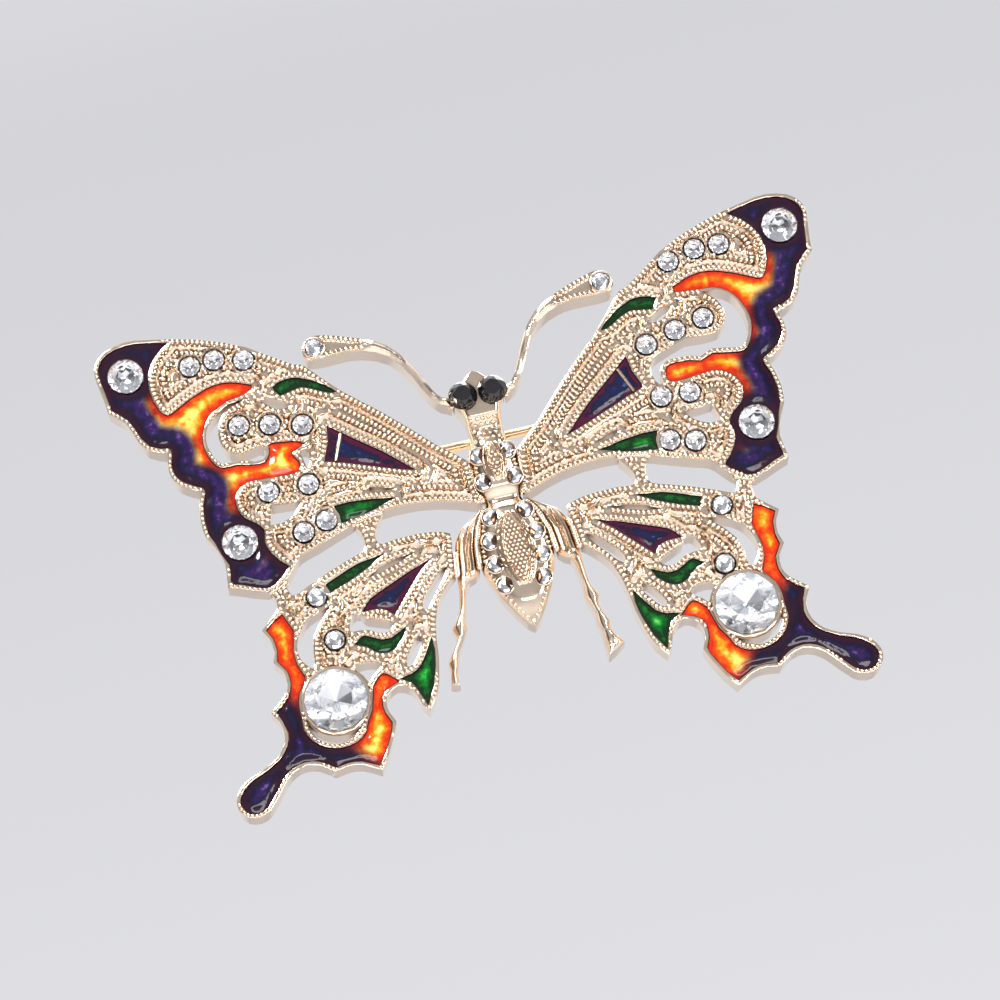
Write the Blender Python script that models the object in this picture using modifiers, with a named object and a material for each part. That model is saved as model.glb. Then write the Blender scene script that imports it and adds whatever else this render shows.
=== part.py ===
"""Butterfly brooch: a cast, gold plated openwork butterfly with enamel fields, glass stones,
a pin stem that swings on a rivet and a turning safety catch.

Frame: +X across the span, -Y out of the front, +Z towards the head. The origin is the middle of
the pin stem, where the garment holds the brooch. Shapes are written in millimetres.
"""

import math

import bmesh
import bpy
from mathutils import Matrix, Vector

MM = 0.001

# Casting
FRONT = -5.0            # y of the wings' front face, measured from the pin's axis
THICKNESS = 2.8
BACK = FRONT + THICKNESS
GAP = 0.08              # running gap between a fill or a stone and the metal around it
POCKET_DEPTH = 0.75     # enamel pockets
ENAMEL_TOP = 0.1        # the enamel lies this far below the rims
BODY_RISE = 1.1         # the body stands this far in front of the wings
BODY_ROUNDING = 0.7
LIMB_RISE = 0.2         # antennae and legs, in front of the wings

# Stones: girdle radius, crown height, depth below the girdle
SMALL_STONE = (0.95, 0.45, 0.7)
MEDIUM_STONE = (1.7, 0.8, 1.1)
LARGE_STONE = (2.85, 1.25, 1.5)
EYE = (1.36, 0.8, 0.4)
TABLE_SHARE = 0.55      # table radius as a share of the girdle radius
SMALL_SIDES, MEDIUM_SIDES, LARGE_SIDES = 8, 12, 20
GIRDLE_LIFT = 0.1       # the girdle stands this far in front of its metal
PAVILION_SHARE = 0.45   # radius of the blunt pavilion as a share of the girdle radius
BEZEL_WALL = 0.3
BEZEL_HEIGHT = 0.35
EYE_TABLE_SHARE = 0.5
EYE_FOOT_SHARE = 0.96   # the eye narrows to this share of its radius where it is glued
EYE_SIDES = 10

# Pin and catch
HINGE_X = -14.0
CATCH_X = 14.0
PIN_RADIUS = 0.45
PIN_TIP_X = 17.2
PIN_POINT = 2.6         # length of the ground point
EYE_RADIUS = 0.9        # the stem's turned eye, on the rivet
EYE_HALF = 0.7
WIRE_START = 0.5        # the wire begins this far from the rivet's axis, inside the eye
RIVET_RADIUS = 0.34
EAR_CLEARANCE = 0.05    # radial, between the rivet and the ears
EYE_CLEARANCE = 0.08    # radial, between the rivet and the stem's eye
RIVET_HEAD = 0.62       # radius of the rivet's heads
RIVET_HEAD_HEIGHT = 0.3
RIVET_HEAD_EDGE = 0.1   # height of the head's straight edge
RIVET_CROWN_SHARE = 0.8
RIVET_HEAD_GAP = 0.06   # between a head and its ear
EAR_INNER = 0.85        # z of the ears' inner faces
EAR_WALL = 0.5
EAR_RADIUS = 0.9
FOOT_WALL = 0.45        # soldered foot plates
FOOT_HALF_X = 1.9
FOOT_HALF_Z = 1.9
SLEEVE_BORE = 0.66
SLEEVE_RADIUS = 1.02
FLANGE_RADIUS = 1.4
RING_BORE = 1.1
RING_RADIUS = 1.7
RING_HALF = 0.6         # half length of the fixed ring along the pin
POST_HALF_Z = 0.8       # the post between the foot plate and the ring
POST_BACK = -1.3
SLEEVE_HALF = 1.3
MOUTH = math.radians(60)    # half angle of the open mouth of ring and sleeve
FLANGE_INSET = 0.06      # the flanges start this far in from the sleeve's ends
FLANGE_MOUTH = math.radians(64)
TAB_ANGLE = math.radians(-75)
TAB_REACH = 2.5
TAB_HALF = 0.3
FLANGE_BORE_STEP = 0.1  # the flanges' bore is this much wider than the sleeve's
RING_STEPS, FLANGE_STEPS = 12, 13

# Modelling
CORNER = "corner"
FLATNESS = 0.05         # an outline's chords stay this close to its curve
MOST_CHORDS = 4         # between two points of an outline
SHARP_TURN = 0.2        # length of the summed edge normals below which a corner is a spike
MITRE_LIMIT = 0.45
OVERLAP = 0.3           # how deep a shape runs into the one that it is joined to
CUT_LEAD = 1.0          # cutters start this far in front of the wing
CUT_REACH = 3.0         # half length of the bores' cutters
MERGE = 0.002
ROUND_STEPS, WIRE_STEPS = 16, 12

# ---------------------------------------------------------------------------------------------
# Outlines, right half, seen from the front: x outwards from the middle, z up, in millimetres.
# The curve is smooth through each point unless the point is marked as a corner. Neighbouring
# parts of the casting are drawn 0.11 to 0.21 apart.

BODY_HALF = [
    (0.0, 5.2), (0.65, 5.0), (1.25, 4.5), (2.05, 4.1), (2.45, 3.3), (2.4, 2.4), (1.95, 1.6), (1.7, 0.6),
    (1.6, -0.5), (1.7, -1.6), (2.05, -2.8), (2.25, -4.2), (2.2, -5.5), (1.85, -6.6), (1.65, -7.3),
    (2.1, -8.2), (2.8, -9.5), (3.3, -11.1), (3.45, -12.7), (3.2, -14.3), (2.5, -16.2), (1.5, -18.0),
    (0.6, -19.3),
]
BODY_TIP = (0.0, -19.8, CORNER)

ANTENNA = [
    (2.6, 3.3, CORNER), (3.35, 3.6), (4.05, 4.6), (4.7, 6.1), (5.4, 7.5), (6.2, 8.7), (7.15, 9.75),
    (8.3, 10.5), (9.6, 11.05), (11.2, 11.65), (12.7, 12.1), (13.6, 12.25), (14.4, 12.05),
    (14.9, 11.4), (14.95, 10.6), (14.4, 10.0), (13.0, 9.9), (11.0, 9.95), (9.5, 9.75), (8.3, 9.35),
    (7.2, 8.65), (6.3, 7.6), (5.5, 6.2), (4.95, 4.9), (4.35, 3.8), (3.65, 3.0), (2.6, 2.45, CORNER),
]

HAUNCH_TOP = [(2.1, -7.6, CORNER), (3.3, -8.35), (4.6, -9.1), (5.3, -10.2), (5.65, -11.6)]
HAUNCH_INSIDE = [
    (4.2, -13.9), (3.7, -13.4, CORNER), (3.6, -12.6), (3.45, -11.1), (2.95, -9.5), (2.25, -8.15),
]
LEG_RIGHT = HAUNCH_TOP + [
    (5.8, -13.3), (5.85, -15.2), (5.95, -17.0), (6.5, -18.2), (6.25, -19.0), (6.45, -19.8), (6.9, -20.8),
    (6.75, -21.5), (7.15, -22.3), (7.75, -23.1, CORNER), (6.9, -23.7), (6.0, -24.2, CORNER),
    (5.85, -23.0), (5.9, -21.8), (5.65, -20.9), (5.7, -20.0), (5.45, -19.0), (5.15, -18.2),
    (5.25, -17.0), (5.05, -15.3), (4.75, -14.2),
] + HAUNCH_INSIDE
LEG_LEFT = HAUNCH_TOP + [
    (5.85, -13.2), (6.05, -14.6), (6.35, -16.2), (6.8, -17.3), (7.55, -18.2), (7.3, -19.1), (7.9, -20.2),
    (8.6, -21.2), (8.55, -22.0), (8.75, -22.8), (8.85, -23.5, CORNER), (8.0, -23.6, CORNER),
    (8.0, -22.6), (7.6, -21.5), (7.35, -20.5), (6.7, -19.5), (6.15, -18.5), (6.1, -17.6),
    (5.7, -16.2), (5.35, -14.9), (4.85, -14.1),
] + HAUNCH_INSIDE

FOREWING = [
    (2.35, -2.95, CORNER), (4.9, -0.7), (7.0, 1.5), (9.0, 3.5), (11.0, 5.3), (12.4, 6.6), (13.6, 7.9),
    (14.7, 9.2), (15.35, 9.85), (16.1, 10.05, CORNER), (18.0, 11.35), (20.0, 12.75), (22.0, 13.7),
    (24.5, 14.6), (27.0, 15.25), (29.0, 15.65), (31.0, 15.9), (33.0, 15.4), (34.1, 14.4),
    (34.4, 13.2), (34.15, 11.5), (34.0, 10.4), (33.95, 9.5), (33.3, 8.85), (32.6, 8.2),
    (32.15, 7.2), (31.8, 6.1), (31.1, 5.1), (30.2, 4.6), (29.35, 4.3, CORNER), (29.65, 3.2),
    (29.55, 2.0), (28.9, 1.0), (28.0, 0.4), (27.15, 0.0, CORNER), (27.6, -1.2), (27.85, -2.8),
    (27.7, -4.4), (27.1, -5.5), (26.7, -6.5), (26.5, -7.4, CORNER), (26.65, -8.5),
    (26.8, -9.6, CORNER), (25.8, -9.95), (24.6, -10.45), (23.4, -10.85), (22.2, -10.65),
    (21.2, -10.0), (20.4, -9.1), (19.6, -8.25), (18.0, -7.75), (16.0, -7.05), (14.0, -6.35),
    (12.0, -5.9), (10.0, -5.75), (8.0, -5.8), (6.0, -6.1), (4.2, -6.6), (2.5, -7.25),
    (1.95, -7.05, CORNER), (2.35, -5.6), (2.4, -4.2),
]
FOREWING_HOLES = [
    [(17.2, 6.2), (18.1, 6.85), (19.0, 7.4), (19.75, 7.3), (19.2, 6.65), (18.3, 6.1)],
    [(18.3, -3.1, CORNER), (21.05, -2.9, CORNER), (21.4, -3.8), (21.65, -4.65, CORNER), (20.5, -4.7),
     (19.2, -4.05)],
    [(9.6, -3.95, CORNER), (10.8, -3.5), (11.9, -3.25), (11.9, -3.6), (10.8, -3.95)],
]
SCROLL_HOLE_RIGHT = [
    (22.8, 7.95, CORNER), (24.2, 7.85), (25.2, 7.3), (25.9, 6.3), (26.3, 5.1), (26.35, 4.0), (26.1, 2.9),
    (25.6, 2.1), (25.0, 1.8), (23.8, 2.05), (22.4, 2.3), (21.2, 1.8), (20.2, 2.1), (18.6, 2.2),
    (17.5, 1.85),
    (17.15, 0.9), (17.3, 0.2), (16.8, 0.1), (16.4, 0.9), (16.45, 2.1), (17.3, 2.85), (18.8, 3.4),
    (20.2, 3.85), (22.0, 3.75), (23.4, 3.85), (24.3, 4.7), (24.45, 5.7), (24.05, 6.8),
    (23.5, 7.4),
]
SCROLL_HOLE_LEFT = [
    (21.0, 7.85, CORNER), (22.6, 7.75), (24.0, 7.1), (25.1, 6.1), (25.6, 5.0), (25.6, 4.0), (25.3, 3.0),
    (24.7, 2.2), (23.4, 2.1), (22.3, 1.95), (21.6, 1.65), (20.85, 1.75), (20.45, 2.15), (20.5, 2.65),
    (21.0, 2.95), (21.8, 2.8), (22.7, 2.6), (23.7, 3.0), (24.3, 3.9), (24.4, 5.1), (23.9, 6.4),
    (23.0, 7.25),
]
ROOT_HOLE_LEFT = [(16.6, 1.6), (17.1, 1.8), (17.4, 1.5), (17.2, 0.7), (17.1, 0.0), (16.8, 0.2), (16.6, 0.9)]

HINDWING = [
    (5.6, -9.35, CORNER), (6.6, -8.95), (8.5, -8.7), (10.5, -8.7), (12.0, -8.85), (12.4, -8.4),
    (12.35, -7.6), (11.9, -6.85), (11.35, -6.1, CORNER), (12.6, -6.15), (14.0, -6.55, CORNER),
    (13.6, -7.3), (13.45, -8.2), (13.75, -9.05), (15.5, -9.65), (17.5, -10.35), (19.5, -11.15),
    (20.9, -11.75),
    (21.35, -11.4), (21.6, -10.5, CORNER), (22.3, -10.85), (23.0, -11.05, CORNER), (22.7, -11.8),
    (22.85, -12.7), (23.6, -13.4), (24.65, -14.3, CORNER), (24.1, -15.3), (24.0, -16.5),
    (24.3, -17.55, CORNER), (23.6, -18.5), (23.5, -19.8), (24.0, -20.8), (25.6, -22.15, CORNER),
    (25.0, -23.1), (24.8, -24.2), (25.1, -25.3), (25.9, -26.3), (27.2, -27.05), (28.7, -27.6),
    (29.9, -28.4),
    (30.5, -29.4), (30.45, -30.4), (29.8, -31.2), (28.7, -31.45), (27.6, -31.0), (26.6, -29.9),
    (25.6, -28.7), (24.6, -27.95), (23.5, -27.7), (22.4, -27.95), (21.6, -28.5),
    (21.1, -28.9, CORNER), (19.8, -28.7), (18.5, -28.85), (16.85, -29.75, CORNER), (15.9, -28.4),
    (15.1, -26.9), (14.55, -25.6, CORNER), (15.0, -24.6), (15.05, -23.6), (14.5, -22.75),
    (13.6, -22.4), (12.7, -22.8), (12.1, -23.7), (11.8, -24.7), (11.3, -25.35, CORNER), (10.5, -24.3),
    (9.8, -22.6), (9.35, -20.6), (9.15, -18.8), (8.85, -17.2), (8.3, -15.7), (7.5, -14.6), (6.7, -13.8),
    (6.0, -13.2, CORNER), (5.95, -12.3), (5.85, -11.2), (5.6, -10.2),
]
HINDWING_HOLES = [
    [(14.75, -20.05), (15.6, -19.6), (16.8, -19.6), (17.1, -19.95), (16.5, -20.7), (16.15, -21.4),
     (15.7, -20.95), (15.1, -20.55)],
    [(18.0, -13.5, CORNER), (20.1, -14.2), (21.2, -15.2), (21.85, -16.5), (21.85, -17.6),
     (21.3, -18.6), (20.7, -18.9), (20.5, -17.5), (20.2, -16.1), (19.4, -15.0), (18.6, -14.2)],
    [(12.7, -16.5), (13.9, -15.95), (15.05, -15.5), (15.5, -14.85), (16.15, -14.9), (16.65, -15.7),
     (16.7, -16.35), (15.9, -16.4), (15.0, -16.6), (14.2, -17.1), (13.3, -17.15)],
    [(6.6, -12.3), (7.7, -12.95), (8.9, -14.2), (9.6, -15.2), (9.6, -15.9), (8.9, -15.5), (8.1, -14.5),
     (7.2, -13.4)],
    [(10.6, -18.1), (11.5, -18.95), (12.15, -19.9), (12.4, -20.8), (11.8, -20.7), (11.1, -19.9),
    (10.55, -19.0)],
    [(9.3, -10.35, CORNER), (11.0, -10.5), (12.8, -11.0), (14.0, -11.7, CORNER), (12.4, -11.4),
    (10.6, -10.85)],
]
# The crescent gap under the large stone's bezel, as angles and radii about the stone.
CRESCENT_START = -122
CRESCENT_END = -24
CRESCENT_INNER = 3.35
CRESCENT_WIDTH = 0.75
CRESCENT_STEPS = 10

# Enamel fields
BAND_OUTSIDE = [
    (27.2, 14.85, CORNER), (29.0, 15.3), (31.0, 15.5), (32.8, 15.05), (33.7, 14.2), (33.95, 13.2),
    (33.75, 11.6), (33.6, 10.4), (33.5, 9.7), (32.9, 9.15), (32.2, 8.4), (31.75, 7.4), (31.4, 6.4),
    (30.8, 5.5),
    (29.9, 5.05), (29.1, 4.9), (28.95, 4.2), (29.2, 3.2), (29.1, 2.2), (28.5, 1.35), (27.6, 0.75),
    (26.85, 0.3), (26.8, -0.3), (27.2, -1.4), (27.4, -2.8), (27.3, -4.2), (26.95, -5.1), (26.6, -6.3),
    (26.1, -7.5), (26.2, -8.5), (26.3, -9.2), (25.5, -9.5), (24.4, -10.0), (23.4, -10.4),
    (22.4, -10.15), (21.5, -9.5), (20.9, -8.9, CORNER), (21.6, -8.2), (22.2, -7.3), (22.55, -6.2),
    (22.35, -5.0), (22.9, -4.2), (23.8, -3.5), (24.3, -2.5), (24.3, -1.4),
]
BRANCH_RIGHT = [
    (23.7, -0.5), (22.8, 0.1), (21.6, 0.3), (20.0, 0.15), (18.4, 0.05), (17.75, 0.4), (17.7, 1.0),
    (17.95, 1.55),
    (18.8, 1.75), (20.0, 1.65), (21.1, 1.35), (22.4, 1.8), (23.6, 1.55), (24.8, 1.35), (25.7, 1.6),
    (26.4, 2.7), (26.75, 4.0), (26.6, 5.3), (26.1, 6.5), (25.3, 7.5), (24.0, 8.2), (22.2, 8.35),
]
BRANCH_LEFT = [
    (23.7, -0.5), (22.8, 0.0), (21.6, -0.05), (20.0, -0.15), (18.4, -0.2), (17.75, 0.1), (17.75, 0.8),
    (18.2, 1.6), (17.4, 2.1), (16.9, 2.3), (17.8, 2.75), (19.2, 2.95), (20.0, 2.95), (20.15, 2.1),
    (20.8, 1.35), (22.0, 1.4), (23.4, 1.7), (24.8, 1.75), (25.6, 2.6), (26.0, 4.0),
    (25.9, 5.3), (25.3, 6.5), (24.4, 7.4), (22.9, 8.1), (21.8, 8.25),
]
CRESCENT_INSIDE = [
    (20.4, 8.6, CORNER), (20.4, 9.0, CORNER), (21.6, 9.5), (23.0, 9.8), (24.6, 9.6), (26.2, 9.0),
    (27.6, 8.3),
    (28.6, 7.9), (29.3, 8.6), (29.65, 9.6), (29.8, 10.8), (29.65, 12.1), (29.1, 13.2), (28.3, 14.1),
]
FORE_ENAMELS = {
    "forewing_wedge_enamel": [
        (7.4, -2.6, CORNER), (10.0, -0.15), (12.2, 1.6), (14.35, 3.4, CORNER), (14.55, 1.9),
        (15.25, 0.2, CORNER),
        (13.6, -0.3), (10.0, -1.65),
    ],
    "forewing_leaf_enamel": [
        (12.85, 6.55), (13.7, 7.35), (14.8, 8.1), (16.0, 8.65), (17.2, 8.75), (18.4, 8.35),
        (17.9, 7.45, CORNER), (17.1, 7.6), (16.0, 7.8), (14.9, 7.45), (13.8, 6.8),
    ],
    "forewing_finger_enamel": [
        (9.9, -4.8, CORNER), (12.0, -4.45), (14.0, -4.25), (15.45, -4.3, CORNER), (15.1, -5.1),
        (15.1, -5.95, CORNER), (13.6, -5.75), (11.6, -5.3),
    ],
}
HIND_BAND = [
    (22.5, -13.3, CORNER), (23.4, -13.75), (24.2, -14.4, CORNER), (23.75, -15.3), (23.65, -16.5),
    (23.85, -17.5),
    (23.2, -18.6), (23.15, -19.9), (23.6, -21.0), (24.3, -21.7), (25.0, -22.2, CORNER), (24.65, -23.1),
    (24.4, -24.3), (24.75, -25.5), (25.7, -26.6), (27.1, -27.4), (28.5, -27.95), (29.6, -28.7),
    (30.1, -29.5), (30.0, -30.2), (29.6, -30.8), (28.7, -31.0), (27.8, -30.6), (26.9, -29.6), (25.9, -28.4),
    (24.8, -27.6), (23.6, -27.3), (22.3, -27.55), (21.3, -28.2), (20.8, -28.45), (19.8, -28.3),
    (18.5, -28.45), (17.0, -29.2, CORNER), (16.2, -28.2), (15.45, -26.8), (15.0, -25.6), (15.4, -24.6),
    (15.45, -23.4), (15.0, -22.6), (14.2, -22.2), (13.5, -21.95, CORNER), (14.1, -21.35), (14.7, -20.95),
    (15.3, -21.3), (15.85, -21.9), (16.1, -22.9), (16.4, -24.0), (17.0, -25.0), (17.5, -26.0),
    (18.5, -26.7), (20.0, -26.9), (21.4, -26.5), (22.5, -25.6), (23.05, -24.4), (23.0, -23.2),
    (23.0, -22.2), (22.7, -20.95), (21.85, -19.75), (21.95, -19.2), (22.3, -18.2), (22.35, -17.0),
    (22.1, -15.9), (21.9, -15.0), (22.2, -14.2),
]
HIND_ENAMELS = {
    "hindwing_finger_enamel": [
        (12.1, -9.8, CORNER), (14.5, -10.2), (16.5, -10.9), (17.9, -11.45, CORNER), (17.6, -12.2, CORNER),
        (15.6, -11.5), (13.6, -10.6),
    ],
    "hindwing_wedge_enamel": [
        (8.0, -11.3, CORNER), (10.2, -12.1), (12.3, -12.95), (14.2, -13.75), (15.1, -14.7, CORNER),
        (13.8, -14.7),
        (12.9, -15.05), (12.4, -15.6, CORNER), (10.9, -14.0), (9.4, -12.4),
    ],
    "hindwing_crescent_enamel": [
        (11.7, -17.1, CORNER), (12.1, -17.9), (12.9, -18.65), (13.8, -19.0), (14.8, -18.7), (15.5, -18.05),
        (16.5, -17.6, CORNER), (15.7, -17.05), (14.9, -17.4), (14.1, -17.8), (13.2, -17.85), (12.4, -17.5),
    ],
    "hindwing_triangle_enamel": [
        (9.6, -18.6, CORNER), (10.3, -19.9), (11.1, -21.0), (12.1, -21.6), (13.2, -21.75, CORNER),
        (12.3, -22.3), (11.8, -23.3), (11.35, -24.7, CORNER), (10.5, -23.2), (9.9, -21.4),
        (9.6, -19.8),
    ],
    "hindwing_band_enamel": HIND_BAND,
}

# Stone places
MEDIUM_PLACES = {"upper_medium_stone": (31.6, 12.6), "lower_medium_stone": (24.75, -5.6)}
LARGE = (19.5, -22.4)
EYE_PLACE = (1.42, 2.95)
SMALL_STONES = {
    "top_leaf_stone": [(20.5, 11.55), (23.2, 12.2), (25.55, 12.1)],
    "inner_lobe_stone": [(16.55, 4.1), (19.5, 4.85), (22.35, 5.4)],
    "finger_stone": [(16.45, -5.45), (18.75, -6.05)],
}
LOWER_LEAF_STONES = {"right": [(16.7, -1.15), (19.4, -1.35)], "left": [(17.3, -1.65), (21.1, -1.5)]}

GREEN_FIELDS = ("leaf", "finger", "crescent", "triangle")

SIDES = {"left": -1, "right": 1}


# ---------------------------------------------------------------------------------------------
# Scene helpers

def clear_scene():
    for obj in list(bpy.data.objects):
        bpy.data.objects.remove(obj, do_unlink=True)
    for collection in list(bpy.data.collections):
        bpy.data.collections.remove(collection)


def new_collection(name):
    collection = bpy.data.collections.new(name)
    bpy.context.scene.collection.children.link(collection)
    return collection


def make_material(name, colour, roughness, metallic):
    material = bpy.data.materials.new(name)
    material.use_nodes = True
    material.diffuse_color = (*colour, 1.0)
    shader = material.node_tree.nodes["Principled BSDF"]
    shader.inputs["Base Color"].default_value = (*colour, 1.0)
    shader.inputs["Roughness"].default_value = roughness
    shader.inputs["Metallic"].default_value = metallic
    return material


def link(obj, collection, material=None):
    collection.objects.link(obj)
    if material:
        obj.data.materials.clear()
        obj.data.materials.append(material)
    return obj


# ---------------------------------------------------------------------------------------------
# Outlines

def smooth(points):
    """A closed polygon through the points, smooth except at corners and straight between two."""
    count = len(points)
    polygon = []
    for i in range(count):
        before, here, there, after = (points[(i + k) % count] for k in (-1, 0, 1, 2))
        p0, p1, p2, p3 = (Vector(p[:2]) for p in (before, here, there, after))
        m1 = p2 - p1 if len(here) == 3 else (p2 - p0) / 2
        m2 = p2 - p1 if len(there) == 3 else (p3 - p1) / 2
        bulge = (m1 - m2).length / 8     # height of the curve over its chord, at the middle
        parts = min(MOST_CHORDS, max(1, math.ceil(math.sqrt(bulge / FLATNESS))))
        for k in range(parts):
            t = k / parts
            polygon.append(
                (2 * t**3 - 3 * t**2 + 1) * p1 + (t**3 - 2 * t**2 + t) * m1
                + (3 * t**2 - 2 * t**3) * p2 + (t**3 - t**2) * m2
            )
    return polygon


def circle(centre, radius, count):
    return [
        Vector((centre[0] + radius * math.cos(a), centre[1] + radius * math.sin(a)))
        for a in (2 * math.pi * i / count for i in range(count))
    ]


def area(polygon):
    return sum(a.x * b.y - b.x * a.y for a, b in zip(polygon, polygon[1:] + polygon[:1])) / 2


def grow(polygon, distance):
    """The polygon with every edge moved outwards; corners are kept from running away."""
    sign = 1 if area(polygon) > 0 else -1
    grown = []
    for i, point in enumerate(polygon):
        into = (point - polygon[i - 1]).normalized()
        out = (polygon[(i + 1) % len(polygon)] - point).normalized()
        n1 = Vector((into.y, -into.x)) * sign
        n2 = Vector((out.y, -out.x)) * sign
        bisector = n1 + n2
        if bisector.length < SHARP_TURN:
            bisector = n1 - n2 + n1
        bisector.normalize()
        reach = distance / max(bisector.dot(n1), MITRE_LIMIT)
        grown.append(point + bisector * reach)
    return grown


def mirrored(polygon, side):
    return [Vector((p.x * side, p.y)) for p in polygon]


def slab(name, polygons, front, back, rounding=0.0):
    """A flat outline with its holes, from y = front to y = back, as a mesh object."""
    curve = bpy.data.curves.new(name, "CURVE")
    curve.dimensions = "2D"
    curve.fill_mode = "BOTH"
    curve.extrude = ((back - front) / 2 - rounding) * MM
    if rounding:
        curve.bevel_depth = rounding * MM
        curve.bevel_resolution = 0
        curve.offset = -rounding * MM
    for polygon in polygons:
        spline = curve.splines.new("POLY")
        spline.points.add(len(polygon) - 1)
        for point, corner in zip(spline.points, polygon):
            point.co = (corner.x * MM, corner.y * MM, 0.0, 1.0)
        spline.use_cyclic_u = True
    drawing = bpy.data.objects.new(name + "_outline", curve)
    bpy.context.scene.collection.objects.link(drawing)
    evaluated = drawing.evaluated_get(bpy.context.evaluated_depsgraph_get())
    mesh = bpy.data.meshes.new_from_object(evaluated)
    bpy.data.objects.remove(drawing, do_unlink=True)
    shape = bmesh.new()
    shape.from_mesh(mesh)
    bmesh.ops.remove_doubles(shape, verts=shape.verts, dist=MERGE * MM)
    turn = Matrix.Rotation(math.radians(90), 4, "X")
    move = Matrix.Translation((0.0, (front + back) / 2 * MM, 0.0))
    bmesh.ops.transform(shape, matrix=move @ turn, verts=shape.verts)
    bmesh.ops.recalc_face_normals(shape, faces=shape.faces)
    straight = math.radians(0.5)
    bmesh.ops.dissolve_limit(shape, angle_limit=straight, verts=shape.verts, edges=shape.edges)
    shape.to_mesh(mesh)
    shape.free()
    return bpy.data.objects.new(name, mesh)


def turned(name, profile, axis, place, steps):
    """A solid of revolution. The profile, (radius, height), runs from the top's axis point down
    the outside to the bottom's; height is measured along the axis from the place."""
    mesh = bpy.data.meshes.new(name)
    points = [(radius * MM, 0.0, height * MM) for radius, height in profile]
    mesh.from_pydata(points, [(i, i + 1) for i in range(len(points) - 1)], [])
    obj = bpy.data.objects.new(name, mesh)
    screw = obj.modifiers.new("turn", "SCREW")
    screw.steps = steps
    screw.render_steps = steps
    screw.use_merge_vertices = True
    screw.merge_threshold = MERGE * MM
    screw.use_smooth_shade = False
    obj.rotation_euler = Vector((0, 0, 1)).rotation_difference(Vector(axis)).to_euler()
    obj.location = Vector(place) * MM
    return obj


def box(name, low, high):
    mesh = bpy.data.meshes.new(name)
    shape = bmesh.new()
    size = Vector(high) - Vector(low)
    centre = (Vector(high) + Vector(low)) / 2
    matrix = Matrix.Translation(centre * MM) @ Matrix.Diagonal((*(size * MM), 1.0))
    bmesh.ops.create_cube(shape, size=1.0, matrix=matrix)
    shape.to_mesh(mesh)
    shape.free()
    return bpy.data.objects.new(name, mesh)


def combine(obj, tool, operation, cutters):
    """Adds a Boolean modifier; the tool goes in the cutters' collection."""
    cutters.objects.link(tool)
    tool.hide_render = True
    tool.display_type = "WIRE"
    modifier = obj.modifiers.new(tool.name, "BOOLEAN")
    modifier.operation = operation
    modifier.solver = "EXACT"
    modifier.object = tool
    return obj


# ---------------------------------------------------------------------------------------------
# Pieces

def crescent_gap():
    inner, outer = [], []
    for i in range(CRESCENT_STEPS + 1):
        share = i / CRESCENT_STEPS
        angle = math.radians(CRESCENT_START + (CRESCENT_END - CRESCENT_START) * share)
        ray = Vector((math.cos(angle), math.sin(angle)))
        inner.append(Vector(LARGE) + ray * CRESCENT_INNER)
        outer.append(Vector(LARGE) + ray * (CRESCENT_INNER + CRESCENT_WIDTH * math.sin(math.pi * share)))
    return inner + outer[-2:0:-1]


def cut_pockets(wing, fields, cutters):
    pockets = [grow(polygon, GAP) for polygon in fields]
    tool = slab(f"{wing.name}_pockets", pockets, FRONT - CUT_LEAD, FRONT + POCKET_DEPTH)
    combine(wing, tool, "DIFFERENCE", cutters)


def cut_seats(wing, places, side, size, sides, cutters):
    """Flat-bottomed holes in the front, one for each stone of a size."""
    radius, _, depth = size
    holes = [circle((x * side, z), radius + GAP, sides) for x, z in places]
    tool = slab(f"{wing.name}_seats_{sides}", holes, FRONT - CUT_LEAD, FRONT + depth + GAP)
    combine(wing, tool, "DIFFERENCE", cutters)


def stone(name, size, place, side, sides, parts, material):
    """A cut stone: table, crown, girdle and a blunt pavilion."""
    radius, crown, depth = size
    profile = [
        (0.0, crown), (radius * TABLE_SHARE, crown), (radius, 0.0),
        (radius * PAVILION_SHARE, -depth), (0.0, -depth),
    ]
    obj = turned(name, profile, (0, -1, 0), (place[0] * side, FRONT - GIRDLE_LIFT, place[1]), sides)
    return link(obj, parts, material)


def enamel(name, polygons, parts, material):
    obj = slab(name, polygons, FRONT + ENAMEL_TOP, FRONT + POCKET_DEPTH - GAP)
    return link(obj, parts, material)


def build_body(parts, gold):
    half = BODY_HALF
    outline = half + [BODY_TIP] + [(-x, z) for x, z in reversed(half[1:])]
    body = slab("body_casting", [smooth(outline)], FRONT - BODY_RISE, BACK, BODY_ROUNDING)
    link(body, parts, gold)


def build_limbs(parts, gold):
    for name, side in SIDES.items():
        leg = LEG_RIGHT if side > 0 else LEG_LEFT
        for kind, outline in (("antenna", ANTENNA), ("leg", leg)):
            polygon = mirrored(smooth(outline), side)
            limb = slab(f"{kind}_{name}", [polygon], FRONT - LIMB_RISE, BACK)
            link(limb, parts, gold)


def fore_band(side):
    branch = BRANCH_RIGHT if side > 0 else BRANCH_LEFT
    return mirrored(smooth(BAND_OUTSIDE + branch + CRESCENT_INSIDE), side)


def build_fields(outlines, name, side, parts, materials):
    """The enamel fills of a wing; returns their outlines."""
    fields = []
    for label, outline in outlines.items():
        polygon = mirrored(smooth(outline), side)
        colour = "green" if label.split("_")[1] in GREEN_FIELDS else "purple"
        enamel(f"{label}_{name}", [polygon], parts, materials[colour])
        fields.append(polygon)
    return fields


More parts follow.
